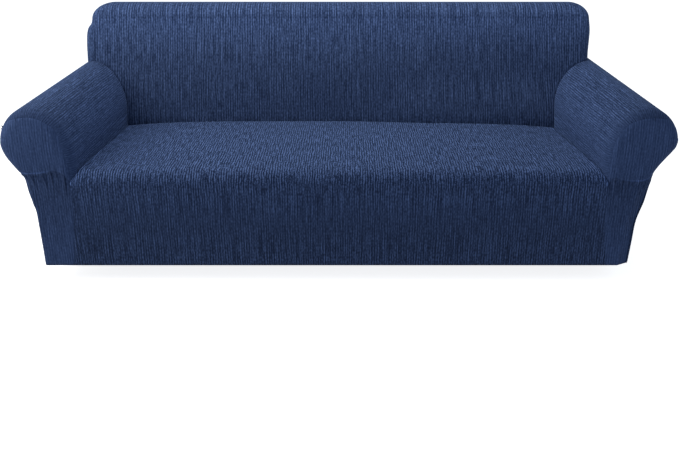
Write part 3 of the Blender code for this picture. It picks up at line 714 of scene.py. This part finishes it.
print("the seat is", round(float(LEFT.wall_front + RIGHT.wall_front), 3), "m wide at its front")

# %% Centre panel
EDGE_ROUND = 0.009       # of the seat beside an arm
SPREAD = 0.0003          # keeps the columns apart where the edge isn't round
PANEL_COLUMNS = 231


def centre_column(share):
    """Depth, height and tuck foot down the panel, from the back to the hem."""
    side = LEFT if share < 0 else RIGHT
    behind = back_depth(share * wall(side, HALF_WAY_BACK), TUCK_REAR)
    foot = behind - FOOT_GAP
    top = seat_height(share, foot)
    turn = np.linspace(0, math.pi / 2, 6)
    tuck = np.linspace(TUCK_REAR, top - SEAT_EDGE, 7)[:-1]
    seat = np.linspace(foot - SEAT_EDGE, SEAT_NOSE, 66)[1:]
    nose = np.linspace(0, math.pi / 2, 17)[1:]
    drop = np.linspace(SEAT_TOP - SEAT_NOSE, HEM, 41)[1:]
    y = np.concatenate(([behind - SEAM_GAP], tuck * 0 + foot,
                        foot - SEAT_EDGE * (1 - np.cos(turn)),
                        seat, SEAT_NOSE * (1 - np.sin(nose)), drop * 0))
    z = np.concatenate(([TUCK_REAR], tuck,
                        top - SEAT_EDGE * (1 - np.sin(turn)),
                        seat_height(share, seat), SEAT_TOP - SEAT_NOSE * (1 - np.cos(nose)), drop))
    floor = np.where(y < SEAT_NOSE, np.minimum(z, TUCK_FRONT), tuck_foot(y))
    floor[:len(tuck) + 2] = TUCK_REAR
    return y, z, floor


def centre_panel():
    """The panel's grid; each side has its turned-down edge, then the middle."""
    turn = np.linspace(0, math.pi / 2, 7)
    for side in (LEFT, RIGHT):
        y, z, foot = centre_column(side.sign)
        half = seat_half(side, y, z)
        edge = []
        for share in np.linspace(0, 1, 5)[:-1]:
            top = np.maximum(z - EDGE_ROUND, foot)
            edge.append((side.sign * half, y, mix(foot, top, share)))
        for a in turn[:-1]:
            fall = EDGE_ROUND * (1 - math.sin(a))
            x = half - EDGE_ROUND * (1 - math.cos(a)) - SPREAD * a
            edge.append((side.sign * x, y, np.maximum(z - fall, foot)))
        side.panel_edge = edge
    columns = list(LEFT.panel_edge)
    for share in np.linspace(-1, 1, PANEL_COLUMNS):
        side = LEFT if share < 0 else RIGHT
        y, z, foot = centre_column(share)
        columns.append((share * (seat_half(side, y, z) - EDGE_ROUND), y, z))
    columns += RIGHT.panel_edge[::-1]
    return np.array(columns).transpose(2, 0, 1)


centre = centre_panel()
print("centre panel:", centre.shape[:2], "points")

# %% [markdown]
# ## Inside and outside back
#
# The inside back covers the face, goes over the top and round the sides to
# the rear edges, where the outside back closes the cover.  The rim is made
# of short columns from the face to the rear, placed all the way round the
# edge, so its curve stays even at the two top corners.  A box with rounded
# edges would be quicker, but its sides could not stand on the arms' rolls.

# %% Back edges
TURN = np.radians(np.linspace(0, 90, SIDE_STEPS + 1))
SIDE_FROM = 0.655        # height of the lowest full column of a side
FOOT_ROUND = 0.5         # the rear edge's radius there, as a share,
FOOT_ROUND_RISE = 0.04   # and how far up it becomes full
TOP_POINTS = 236


def edge_entry(outer, inner, radius, top, rear):
    """The back's edge at one place: outer line, face line, radii."""
    return SimpleNamespace(outer=np.array(outer), inner=np.array(inner),
                           radius=radius, top=top, rear=rear)


def corner_entry(side, angle):
    middle = back_outline(CORNER_LEVEL, side.column) - side.corner_width
    across, up = math.cos(math.radians(angle)), math.sin(math.radians(angle))
    outer = (middle + side.corner_width * across, CORNER_LEVEL + (BACK_TOP - CORNER_LEVEL) * up)
    inner = (middle + (side.corner_width - BACK_SIDE) * across,
             CORNER_LEVEL + (BACK_TOP - CORNER_LEVEL - BACK_NOSE) * up)
    entry = edge_entry(outer, inner, mix(BACK_SIDE, BACK_NOSE, up), up, REAR_EDGE)
    entry.outer[0] *= side.sign
    entry.inner[0] *= side.sign
    return entry


def side_entries(side):
    """From the arm up to the middle of the top corner."""
    entries = []
    for z in np.linspace(SIDE_FROM, CORNER_LEVEL, 18):
        x = back_outline(z, side.column)
        rear = REAR_EDGE * mix(FOOT_ROUND, 1.0, ease((z - SIDE_FROM) / FOOT_ROUND_RISE))
        entries.append(edge_entry((side.sign * x, z), (side.sign * (x - BACK_SIDE), z),
                                  BACK_SIDE, 0.0, rear))
    return entries + [corner_entry(side, a) for a in np.linspace(0, 45, 9)[1:]]


def top_entries():
    left = [corner_entry(LEFT, a) for a in np.linspace(45, 90, 9)[1:]]
    right = [corner_entry(RIGHT, a) for a in np.linspace(90, 45, 9)[:-1]]
    middle = []
    for x in np.linspace(left[-1].outer[0], right[0].outer[0], TOP_POINTS)[1:-1]:
        middle.append(edge_entry((x, BACK_TOP), (x, BACK_TOP - BACK_NOSE), BACK_NOSE, 1.0, REAR_EDGE))
    return left + middle + right


def edge_column(entry):
    """The cloth at one place of the back's edge, from the front to the rear."""
    inward = (entry.inner - entry.outer) / np.linalg.norm(entry.inner - entry.outer)
    start = back_depth(*entry.inner)
    front, level = start + entry.radius, REAR - entry.rear
    fall = np.array((0.0, BACK_FALL * entry.top))
    share = np.linspace(0, 1, 20)[1:, None]
    turn = REAR_TURN[1:, None]
    places = np.concatenate((mix(entry.inner, entry.outer, np.sin(TURN)[:, None]),
                             entry.outer - fall * share ** 2,
                             entry.outer - fall + inward * entry.rear * (1 - np.cos(turn))))
    y = np.concatenate((start + entry.radius * (1 - np.cos(TURN)),
                        mix(front, level, share[:, 0]),
                        level + entry.rear * np.sin(turn[:, 0])))
    return np.stack((places[:, 0], y, places[:, 1]), axis=1)


def foot_column(side):
    """The lower end of the back's side, where it stands on the roll."""
    column = []
    for i in range(side.edge - SIDE_STEPS, side.edge + 1):
        x, z = line_point(side, side.lines[i], side.depths[i])
        column.append((float(x), side.depths[i], float(z) + SEAM_GAP * (len(column) > 0)))
    y, inset = rear_run(side.depths[side.edge], REAR_CORNER)
    x, z = line_point(side, side.lines[side.edge], y)
    column += list(np.stack((x - inset, y, z - inset + SEAM_GAP), axis=1))
    return np.array(column) * (side.sign, 1, 1)


print("rim of the back:", 2 * len(side_entries(LEFT)) + len(top_entries()), "columns")

# %% Back panels
def side_columns(side):
    entries = side_entries(side)
    foot, first = foot_column(side), edge_column(entries[0])
    columns = [mix(foot, first, share) for share in np.linspace(0, 1, 6)[:-1]]
    return columns + [edge_column(entry) for entry in entries]


def inside_back():
    """The face and its rim, as two grids that share an edge."""
    edges, rims = {}, {}
    for side in (LEFT, RIGHT):
        front = []
        for i in range(side.edge - SIDE_STEPS):
            x, z = line_point(side, side.lines[i], side.depths[i])
            front.append((side.sign * float(x), float(z)))
        rims[side.name] = side_columns(side)
        edges[side.name] = front + [tuple(column[0, ::2]) for column in rims[side.name]]
    top = [edge_column(entry) for entry in top_entries()]
    top = [rims["left"][-1]] + top + [rims["right"][-1]]
    left, right = np.array(edges["left"]), np.array(edges["right"])
    bottom = mix(left[0], right[0], np.linspace(0, 1, len(top))[:, None])
    face = patch(left, right, bottom, [column[0, ::2] for column in top])
    face = np.stack((face[..., 0], back_depth(face[..., 0], face[..., 1]), face[..., 1]), axis=2)
    rim = rims["left"][:-1] + top + rims["right"][:-1][::-1]
    return face, np.array(rim)


def rear_point(entry):
    inward = (entry.inner - entry.outer) / np.linalg.norm(entry.inner - entry.outer)
    return entry.outer - (0.0, BACK_FALL * entry.top) + inward * (entry.rear + SEAM_GAP)


def outside_back():
    edges = {}
    for side in (LEFT, RIGHT):
        outline, out, radii = rear_outline(side)
        arm = outline - out * (radii[:, None] + SEAM_GAP)
        arm = arm[:side.edge - 1:-1] * (side.sign, 1)
        upper = [rear_point(entry) for entry in side_entries(side)]
        joint = mix(arm[-1], upper[0], np.linspace(0, 1, 6)[1:-1, None])
        edges[side.name] = np.concatenate((arm, joint, upper))
    top = [edges["left"][-1]] + [rear_point(e) for e in top_entries()] + [edges["right"][-1]]
    top = np.array(top)[::2]
    bottom = mix(edges["left"][0], edges["right"][0], np.linspace(0, 1, len(top))[:, None])
    face = patch(edges["left"], edges["right"], bottom, top)
    return np.stack((face[..., 0], face[..., 0] * 0 + REAR, face[..., 1]), axis=2)


back_front, back_rim = inside_back()
back_rear = outside_back()
print("inside back:", back_front.shape[:2], "and", back_rim.shape[:2], "points")
print("outside back:", back_rear.shape[:2], "points")

# %% [markdown]
# ## From grids to sewn cloth
#
# A cut edge never shows on a sewn cover: it is turned inwards and sewn to
# its neighbour, so the two pieces roll into a fine groove.  Each border is
# therefore sunk a little and given a seam allowance, which points inwards
# and beneath the next piece, so that the two cross and nothing shows between
# them.  The hem is folded up on the inside.  A groove drawn in the material
# would be cheaper, but it would vanish from the outline and close by.

# %% Lines near the edges
EDGE_LINES = (0.0015, 0.0040)    # how far from a border a grid gets more lines


def insert_near_edges(grid, marks):
    """Add lines close to the borders of a grid, for the rolled edges."""
    both = np.concatenate((grid, marks), axis=2)
    for _ in range(2):
        for _ in range(2):
            run = np.linalg.norm(both[1, :, :3] - both[0, :, :3], axis=1)
            run = np.where(run > 0.0001, run, 1.0)
            lines = [mix(both[0], both[1], np.clip(gap / run, 0, 0.8)[:, None])
                     for gap in EDGE_LINES]
            both = np.concatenate((both[:1], lines, both[1:]))[::-1]
        both = both.swapaxes(0, 1)
    return both[..., :3], both[..., 3:]


def add_grid(cage, grid, marks, flip):
    """Marks are four numbers at each point: the grain's two and the look's two."""
    grain, look = (cage.verts.layers.float_vector[name] for name in ("grain", "look"))
    corners = []
    for points, numbers in zip(grid, marks):
        line = []
        for point, mark in zip(points, numbers):
            if not np.isfinite(point[0]):
                line.append(None)
                continue
            corner = cage.verts.new(point)
            corner[grain] = (mark[0], mark[1], 0)
            corner[look] = (mark[2], mark[3], 0)
            line.append(corner)
        corners.append(line)
    for low, high in zip(corners, corners[1:]):
        for face in zip(low, low[1:], high[1:], high):
            if None not in face:
                cage.faces.new(face[::-1] if flip else face)


print("extra lines at", EDGE_LINES, "m from each border")

# %% The way a seam allowance points
UNDER = 1.5              # how far it goes beneath the next piece, by its depth
PANEL_UNDER = 1.0        # the same for the centre panel
PANEL_DEPTH = 1.3        # how deep the panel's allowances go beside an arm
PANEL_OUT = (0.35, 1.0)  # how far outwards, at the front and in the tuck
TUCK_FROM = 0.008        # depth at which the tuck begins
TUCK_RISE = 0.012
JOINT_DEPTH = 0.840      # behind this depth and near this height the back,
JOINT_HEIGHT = 0.611     # an arm and the outside back meet in one joint,
JOINT_REACH = 0.02
JOINT_SHARE = 0.3        # around which allowances are trimmed to this share
NEAR_HEM = 0.0005        # a border so low is the hem
ABOVE_HEM = 0.01         # and from here up it is clear of it
SIDEWAYS = 0.1           # an allowance that points less far aside lies at the back


def under_neighbour(v, under):
    """Inwards and beneath the next piece."""
    away = Vector()
    for e in v.link_edges:
        if not e.is_boundary:
            away += (v.co - e.other_vert(v).co).normalized()
    away -= v.normal * away.dot(v.normal)
    return away.normalized() * under - v.normal


def allowance_way(v, kind):
    """Beside an arm the centre panel's allowance goes back, down and outwards."""
    if v.co.z < HEM + NEAR_HEM:
        return -v.normal
    panel = kind == "centre_panel"
    way = under_neighbour(v, PANEL_UNDER if panel else UNDER)
    if panel and abs(way.x) > SIDEWAYS and v.co.z > HEM + ABOVE_HEM:
        out = mix(*PANEL_OUT, ease((v.co.y - TUCK_FROM) / TUCK_RISE))
        back = Vector((0, max(way.y, 0), min(way.z, 0))).normalized() * PANEL_DEPTH
        way = back + Vector((math.copysign(out, v.co.x), 0, 0))
    if v.co.y > JOINT_DEPTH and abs(v.co.z - JOINT_HEIGHT) < JOINT_REACH:
        way *= JOINT_SHARE
    return way


# %% Sewing
ALLOWANCE = 0.005        # how deep the cloth is turned inwards at a seam
HEM_TURN = 0.0034        # and at the hem, before it is folded up
HEM_FOLD = 0.020
SINK = 0.0010            # depth of the groove at the seams of the back
SINKS = {"centre_panel": 0.0004, "arm_drop": 0.0004, "arm_facing": 0.0005, "arm_wrap": 0.0005}
SINK_REACH = 0.006       # how far from the seam the cloth starts to roll in
ONE_POINT = 0.00004      # points closer than this are joined


def finder(verts):
    """A tree that finds the nearest of some vertices."""
    tree = kdtree.KDTree(len(verts))
    for i, v in enumerate(verts):
        tree.insert(v.co, i)
    tree.balance()
    return tree


def extruded(cage, edges):
    """Extrude edges and return the new vertices."""
    made = bmesh.ops.extrude_edge_only(cage, edges=edges)["geom"]
    return [v for v in made if isinstance(v, bmesh.types.BMVert)]


def sink_edges(cage, border, sink):
    tree = finder(border)
    moves = []
    for v in cage.verts:
        gap = tree.find(v.co)[2]
        if gap < SINK_REACH:
            moves.append((v, v.normal.copy(), sink * (1 - gap / SINK_REACH) ** 2))
    for v, normal, depth in moves:
        v.co -= normal * depth


def sew(cage, kind):
    """Roll the cut edges in, add seam allowances and fold the hem."""
    bmesh.ops.remove_doubles(cage, verts=cage.verts, dist=ONE_POINT)
    cage.normal_update()
    border = [v for v in cage.verts if v.is_boundary]
    ways = [allowance_way(v, kind) for v in border]
    sink_edges(cage, border, SINKS.get(kind, SINK))
    tree = finder(border)
    hem = set()
    for v in extruded(cage, [e for e in cage.edges if e.is_boundary]):
        low = v.co.z < HEM + NEAR_HEM
        v.co += ways[tree.find(v.co)[1]] * (HEM_TURN if low else ALLOWANCE)
        v.co.z = max(v.co.z, HEM)
        if low:
            hem.add(v)
    for v in extruded(cage, [e for e in cage.edges if e.is_boundary and hem.issuperset(e.verts)]):
        v.co.z += HEM_FOLD


# %% Cloth
THICKNESS = 0.0013       # of the knit


def finish_cloth(name, cage, material):
    """Turn a cage into a cloth piece."""
    mesh = bpy.data.meshes.new(name + "_cloth")
    cage.to_mesh(mesh)
    cage.free()
    mesh.transform(Matrix.Translation(-Vector(FLOOR_TO_MOUNT)))
    mesh.shade_smooth()
    mesh.materials.append(material)
    piece = bpy.data.objects.new(name + "_cloth", mesh)
    bpy.context.scene.collection.objects.link(piece)
    shell = piece.modifiers.new("thickness", "SOLIDIFY")
    shell.thickness = THICKNESS
    shell.offset = -1
    print(name, len(mesh.polygons), "faces")
    return piece


# %% [markdown]
# ## Shader maths
#
# A knit is a sum of many small effects.  Wired node by node such a sum is
# hard to read, so one small class wraps a socket and lets plain expressions
# such as `1 - mask` add the Math nodes.

# %% Sockets as numbers
class Maths:
    """A node socket that can be added to, multiplied and mixed."""

    def __init__(self, tree, socket):
        self.tree, self.socket = tree, socket

    def node(self, kind, settings=None, sockets=None, output=0):
        """Add a node: its settings first, then values or links by socket."""
        made = self.tree.nodes.new(kind)
        for name, value in (settings or {}).items():
            setattr(made, name, value)
        for key, value in (sockets or {}).items():
            if isinstance(value, Maths):
                self.tree.links.new(value.socket, made.inputs[key])
            else:
                made.inputs[key].default_value = value
        return Maths(self.tree, made.outputs[output])

    def maths(self, operation, *values):
        return self.node("ShaderNodeMath", {"operation": operation}, dict(enumerate(values)))

    def __add__(self, other):
        return self.maths("ADD", self, other)

    def __sub__(self, other):
        return self.maths("SUBTRACT", self, other)

    def __rsub__(self, other):
        return self.maths("SUBTRACT", other, self)

    def __mul__(self, other):
        return self.maths("MULTIPLY", self, other)

    def __pow__(self, other):
        return self.maths("POWER", self, other)

    __radd__, __rmul__ = __add__, __mul__

    def between(self, low, high):
        """0 below low, 1 above high and smooth between them."""
        settings = {"interpolation_type": "SMOOTHSTEP"}
        return self.node("ShaderNodeMapRange", settings, {0: self, 1: low, 2: high})

    def colours(self, first, second):
        """A colour between two, by this value."""
        settings = {"data_type": "RGBA"}
        return self.node("ShaderNodeMix", settings, {0: self, 6: first, 7: second}, 2)


print("maths between sockets: + - * ** and their reflected forms")

# %% [markdown]
# ## Knit
#
# The cover is a stretch knit of navy yarn.  Its ribs run down the cloth, a
# little unevenly, and the yarn has slubs, so darker and paler streaks lie
# along the ribs.  Every stitch could be modelled, but from any usual
# distance only the streaks are seen.  So the pattern is one sine for the
# ribs and three noises, stretched along the grain, for streaks of three
# lengths.  The grain is stored on the mesh in metres, which keeps the ribs
# even round every bend and needs no UV map.

# %% Patterns along the grain
RIB = 0.0083             # distance between two ribs where the knit is slack
RIBS = {"inside_back": 0.0098, "outside_back": 0.0098, "arm_wrap": 0.0072}
RIB_STRENGTH = 0.34
WANDER = 0.006           # how far a rib strays sideways
WANDERS = (0.050, 0.120, 11.3)   # width and length of a stray, where it is read
# strength, width in ribs, length in metres, and where the noise is read
STREAKS = (
    (1.1, 0.46, 0.150, 0.0),
    (1.0, 0.46, 0.036, 31.7),
    (1.3, 0.42, 0.0090, 57.1),
)


def streaks(grain, width, length, shift):
    """A noise from -0.5 to 0.5 in patches of this width and length."""
    scaled = grain.node("ShaderNodeVectorMath", {"operation": "MULTIPLY_ADD"},
                        {0: grain, 1: (1 / width, 1 / length, 0), 2: (shift, shift, 0)})
    made = grain.node("ShaderNodeTexNoise", {"noise_dimensions": "2D"},
                      {"Vector": scaled, "Scale": 1.0, "Detail": 0.0, "Roughness": 0.5})
    return made - 0.5


def ribs_and_slubs(grain, pitch):
    across = grain.node("ShaderNodeSeparateXYZ", {}, {0: grain}, "X")
    phase = (across + streaks(grain, *WANDERS) * WANDER) * (2 * math.pi / pitch)
    pattern = phase.maths("SINE", phase) * RIB_STRENGTH
    for strength, width, length, shift in STREAKS:
        pattern = pattern + streaks(grain, width * pitch, length, shift) * strength
    return pattern


print("ribs every", RIB, "m, streaks of", [length for _, _, length, _ in STREAKS], "m")

# %% Knit
KINDS = ("centre_panel", "inside_back", "outside_back", "arm_wrap", "arm_facing", "arm_drop")
NAVY = (0.0300, 0.0515, 0.1250)
DARKEST = (0.30, 0.36, 0.42)     # of the yarn, as shares of its colour
PALEST = (3.20, 3.00, 2.70)
SPAN = (-0.30, 1.60)     # of the pattern, from the darkest to the palest
DARKER = 1.5             # above 1 the pale streaks become rarer
RELIEF = 0.0008          # height of the ribs
LOOKS = {
    "Roughness": 0.9,
    "Specular IOR Level": 0.08,
    "Sheen Weight": 0.10,
    "Sheen Roughness": 0.5,
    "Sheen Tint": (0.35, 0.55, 1.0, 1),
}


def knit(kind):
    material = bpy.data.materials.new(kind + "_knit")
    material.use_nodes = True
    tree = material.node_tree
    shader = tree.nodes["Principled BSDF"]
    start = Maths(tree, None)
    grain = start.node("ShaderNodeAttribute", {"attribute_name": "grain"}, output="Vector")
    look = start.node("ShaderNodeAttribute", {"attribute_name": "look"}, output="Vector")
    slub = look.node("ShaderNodeSeparateXYZ", {}, {0: look}, "X")
    # The look's second number is painted light and shade that scales the knit's colour.
    painted_shading = look.node("ShaderNodeSeparateXYZ", {}, {0: look}, "Y")
    pattern = ribs_and_slubs(grain, RIBS.get(kind, RIB)) * slub
    light = (pattern + 0.5).between(*SPAN) ** DARKER
    dark = [v * w for v, w in zip(NAVY, DARKEST)]
    pale = [v * w for v, w in zip(NAVY, PALEST)]
    colour = light.colours((*dark, 1), (*pale, 1))
    colour = colour.node("ShaderNodeVectorMath", {"operation": "SCALE"}, {0: colour, "Scale": painted_shading})
    tree.links.new(colour.socket, shader.inputs["Base Color"])
    bump = start.node("ShaderNodeBump", {},
                      {"Height": pattern, "Strength": 0.5, "Distance": RELIEF})
    tree.links.new(bump.socket, shader.inputs["Normal"])
    for name, value in LOOKS.items():
        shader.inputs[name].default_value = value
    return material


knits = {kind: knit(kind) for kind in KINDS}
print("knits:", ", ".join(knits))

# %% [markdown]
# ## Painted light and shade on the knit, and its slubs
#
# The knit's colour is scaled piece by piece and by height, and that is
# painted light and shade: paler where a piece is to look lit, as high on the
# inside back, on the facings and low on the drops, and darker where it is to
# look shaded, as low on the back, low on the seat's front and at the hem.
# How strong its slubs are is set by height as well.  Painting that by
# hand would need a map, so it is told by height, piece by piece, and stored
# on the mesh beside the grain.

# %% Painted light and shade, and slubs, by height
# Painted light and shade by height, piece by piece: above 1 paler, as if lit more, below 1 darker, as
# if shaded.
LIGHT_AND_SHADE_BY_HEIGHT = {
    "centre_panel": smooth_table(
        (0.07, 0.84), (0.20, 0.90), (0.33, 1.05), (0.40, 1.00), (0.42, 1.05)),
    "inside_back": smooth_table(
        (0.35, 0.86), (0.55, 0.92), (0.65, 1.02), (0.74, 1.28), (0.80, 1.37), (0.83, 1.23),
        (0.85, 0.95)),
    "outside_back": smooth_table((0.07, 0.9), (0.85, 1.0)),
    "arm_wrap": smooth_table((0.07, 0.95), (0.38, 1.28), (0.55, 1.24), (0.62, 1.02)),
    "arm_facing": smooth_table((0.38, 1.40), (0.63, 1.45)),
    "arm_drop": smooth_table((0.07, 1.36), (0.20, 1.26), (0.36, 1.05), (0.42, 1.00)),
}
HEM_PAINTED_SHADE = 0.72          # painted shade at the very hem, a darker band along the folded bottom edge
HEM_SHADE_RISE = 0.010    # and how far up it ends
FRONT_SLUB = 0.45        # a wrap is stretched round its front edge
FRONT_SLUB_REACH = 0.09
SLUBS = {
    "centre_panel": smooth_table((0.07, 0.85), (0.33, 0.80), (0.39, 1.30), (0.42, 2.00)),
    "inside_back": smooth_table((0.35, 0.62), (0.60, 0.58), (0.85, 0.66)),
    "outside_back": smooth_table((0.07, 0.7), (0.85, 0.7)),
    "arm_wrap": smooth_table((0.07, 0.6), (0.38, 0.52), (0.52, 0.62), (0.63, 0.85)),
    "arm_facing": smooth_table((0.38, 0.28), (0.63, 0.24)),
    "arm_drop": smooth_table((0.07, 0.26), (0.36, 0.42), (0.42, 0.46)),
}


def marks(kind, grid, across, along, shade=1.0):
    """The knit's grain in metres, how strong its slubs are, and its painted light and shade."""
    height = grid[..., 2]
    slub = SLUBS[kind](height)
    # Painted light and shade: the piece's table, times what is passed in, times painted shade at the
    # hem.
    painted_shading = LIGHT_AND_SHADE_BY_HEIGHT[kind](height) * shade * mix(HEM_PAINTED_SHADE, 1, ease((height - HEM) / HEM_SHADE_RISE))
    if kind == "arm_wrap":
        slub = slub * mix(FRONT_SLUB, 1.0, ease(grid[..., 1] / FRONT_SLUB_REACH))
    return np.stack(np.broadcast_arrays(across, along, slub, painted_shading), axis=2)


print("tone of the seat's edge:", round(float(LIGHT_AND_SHADE_BY_HEIGHT["centre_panel"](0.40)), 2))

# %% [markdown]
# ## Sewing the pieces
#
# Each grid gets its grain, which is the distance across and along the ribs
# in metres, then its painted light and shade and its slubs, and is sewn and
# placed.  Each piece is one cloth of its own, as it is cut, because that is
# how a cover is made and mended.

# %% Placing a piece
def add_piece(name, kind, grids):
    """Grids, each with its marks and whether it is flipped, become one piece."""
    cage = bmesh.new()
    cage.verts.layers.float_vector.new("grain")
    cage.verts.layers.float_vector.new("look")
    for grid, numbers, flip in grids:
        grid, numbers = insert_near_edges(grid, numbers)
        add_grid(cage, grid, numbers, flip)
    sew(cage, kind)
    piece = finish_cloth(name, cage, knits[kind])
    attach(piece, "root")
    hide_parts(name)


# %% Centre panel's cloth
SLACK = 2.4              # how much shorter the slubs are on the seat, less one
SLACK_FROM = 0.30        # distance above the hem where the seat's edge begins
TUCK_PAINTED_LIGHT = ((0.30, 0.040), (0.60, 0.008))  # painted light beside an arm, lifting the tuck's shade: by how much, how near
TUCK_LIGHT_FROM = 0.28    # distance above the hem where this begins
TUCK_LIGHT_RISE = 0.03
above_hem = arc_lengths(centre, 0)[-1] - arc_lengths(centre, 0)
along = above_hem + SLACK * np.maximum(above_hem - SLACK_FROM, 0)
# Painted light: the seat is made paler near its sides, where the tuck beside each arm shades it.
edge = np.minimum(centre[..., 0] - centre[:, :1, 0], centre[:, -1:, 0] - centre[..., 0])
painted_tuck_light = sum(painted_shading * np.exp(-edge / reach) for painted_shading, reach in TUCK_PAINTED_LIGHT)
shade = 1 + painted_tuck_light * ease((above_hem - TUCK_LIGHT_FROM) / TUCK_LIGHT_RISE)
numbers = marks("centre_panel", centre, centre[..., 0], along, shade)
add_piece("centre_panel", "centre_panel", [(centre, numbers, True)])

# %% Back pieces
ends = back_rim[:, SIDE_STEPS] - back_rim[:, 0]
way = ends[:, ::2] / np.linalg.norm(ends[:, ::2], axis=1)[:, None]
arc = arc_lengths(back_rim, 1)
unrolled = back_rim[:, :1] + np.insert(way, 1, 0, axis=1)[:, None] * arc[..., None]
front_marks = marks("inside_back", back_front, back_front[..., 0], back_front[..., 2])
rim_marks = marks("inside_back", back_rim, unrolled[..., 0], unrolled[..., 2])
rear_marks = marks("outside_back", back_rear, back_rear[..., 0], back_rear[..., 2])
add_piece("inside_back", "inside_back",
          [(back_front, front_marks, False), (back_rim, rim_marks, True)])
add_piece("outside_back", "outside_back", [(back_rear, rear_marks, True)])

# %% Arm pieces
FRONT_ROWS = 80          # rows of a wrap that all its lines have
GRAIN_ROW = 20           # the one along which the ribs are counted
TUCK_REACH = 0.008       # how far up from its tuck a wrap is painted paler, against the tuck's shade


def add_arm_piece(side, kind, grid, numbers, flip):
    add_piece(kind + "_" + side.name, kind, [(grid, numbers, flip)])


for side in (LEFT, RIGHT):
    right = side is RIGHT
    across = arc_lengths(side.wrap[:, :FRONT_ROWS], 0)[:, GRAIN_ROW:GRAIN_ROW + 1]
    # Painted light along the wrap's tuck, against the shade there.
    shade = 1 + side.wrap_tuck_light * np.exp(-across / TUCK_REACH)
    numbers = marks("arm_wrap", side.wrap, across, arc_lengths(side.wrap, 1), shade)
    add_arm_piece(side, "arm_wrap", side.wrap, numbers, right)
    flat = side.facing_flat
    numbers = marks("arm_facing", side.facing, flat[..., 0], flat[..., 1], side.facing_shade)
    add_arm_piece(side, "arm_facing", side.facing, numbers, not right)
    x, z = side.drop[..., 0] * side.sign, side.drop[..., 2]
    numbers = marks("arm_drop", side.drop, x, z, side.drop_shade)
    add_arm_piece(side, "arm_drop", side.drop, numbers, right)

# %% [markdown]
# ## Floor
#
# The cover stands on a plain pale floor.  A white floor lit by lamps alone
# turns grey away from them, so it also glows a little.  It does not light
# the cloth by diffuse bounces, or the glow would wash the cover's front out.

# %% Floor
GLOW = 0.84


def plain_floor():
    mesh = bpy.data.meshes.new("studio_floor")
    half, level = 30.0, -float(FLOOR_TO_MOUNT[2])
    corners = [(x * half, y * half, level) for x, y in ((-1, -1), (1, -1), (1, 1), (-1, 1))]
    mesh.from_pydata(corners, [], [(0, 1, 2, 3)])
    material = bpy.data.materials.new("pale_floor")
    material.use_nodes = True
    shader = material.node_tree.nodes["Principled BSDF"]
    shader.inputs["Base Color"].default_value = (0.9, 0.9, 0.9, 1)
    shader.inputs["Roughness"].default_value = 1.0
    shader.inputs["Specular IOR Level"].default_value = 0.0
    shader.inputs["Emission Color"].default_value = (1, 1, 1, 1)
    shader.inputs["Emission Strength"].default_value = GLOW
    mesh.materials.append(material)
    floor = bpy.data.objects.new("studio_floor", mesh)
    floor.visible_diffuse = False
    bpy.context.scene.collection.objects.link(floor)
    return level


print("floor at", plain_floor(), "m")

# %% [markdown]
# ## Light
#
# Soft studio light: most of it comes from all round, a large box stands at
# the left, and two long strips lift the seat and the back.  A wide low sun
# from the left gives the arms their form.  Small hard lamps would draw sharp
# shadows under the rolls, which a soft knit does not need.

# %% Lamps
WARM = (1.05, 1.0, 0.92)     # colour of the lamps
COOL = (0.86, 0.99, 1.16)    # and of the light from all round


def soft_box(name, place, size, aim, power):
    light = bpy.data.lights.new(name, "AREA")
    light.shape = "RECTANGLE"
    light.size, light.size_y = size
    light.energy = power
    light.color = WARM
    lamp = bpy.data.objects.new(name, light)
    lamp.location = place
    lamp.rotation_euler = (Vector(aim) - Vector(place)).to_track_quat("-Z", "Y").to_euler()
    lamp.visible_camera = False
    bpy.context.scene.collection.objects.link(lamp)


soft_box("box_left", (-1.9, -1.2, 0.9), (1.2, 1.2), (-0.4, -0.4, -0.3), 21.1)
soft_box("strip_over_seat", (0, -0.35, 0.55), (2.4, 0.4), (0, -0.1, -0.2), 4.5)
soft_box("strip_over_back", (0, 0.1, 0.9), (2.6, 0.5), (0, -0.1, -0.3), 6.3)
sun = bpy.data.lights.new("low_left", "SUN")
sun.angle = math.radians(30)
sun.energy = 0.405
sun.color = WARM
lamp = bpy.data.objects.new("low_left", sun)
lamp.rotation_euler = Vector((-0.875, -0.235, 0.423)).to_track_quat("Z", "Y").to_euler()
bpy.context.scene.collection.objects.link(lamp)

# %% Surroundings
ALL_ROUND = 0.325        # strength of the light from all round
SEEN_MORE = 0.6          # how much brighter than that the background is seen
world = bpy.data.worlds.new("studio")
world.use_nodes = True
tree = world.node_tree
seen = Maths(tree, None).node("ShaderNodeLightPath", output="Is Camera Ray")
strength = seen * SEEN_MORE + ALL_ROUND
colour = seen.colours((*COOL, 1), (1, 1, 1, 1))
tree.links.new(colour.socket, tree.nodes["Background"].inputs["Color"])
tree.links.new(strength.socket, tree.nodes["Background"].inputs["Strength"])
bpy.context.scene.world = world
bpy.context.scene.view_settings.view_transform = "Standard"
print("brightness of the background:", SEEN_MORE + ALL_ROUND)

# %% [markdown]
# ## Camera
#
# The camera looks down on the sofa by 18 degrees from nearly the middle, with
# a lens of usual length.  A small shift places the cover in the frame, which
# keeps the upright lines as they are; tilting the camera further would not.

# %% Camera
lens = bpy.data.cameras.new("camera")
lens.lens = 37.16
lens.sensor_width = 36.0
lens.shift_x = -0.0125
lens.shift_y = -0.1779
camera = bpy.data.objects.new("camera", lens)
camera.location = (0.0325, -2.8936, 0.4567)
camera.rotation_euler = (math.radians(72), 0, 0)
bpy.context.scene.collection.objects.link(camera)
bpy.context.scene.camera = camera
print("camera:", [round(v, 3) for v in camera.location])
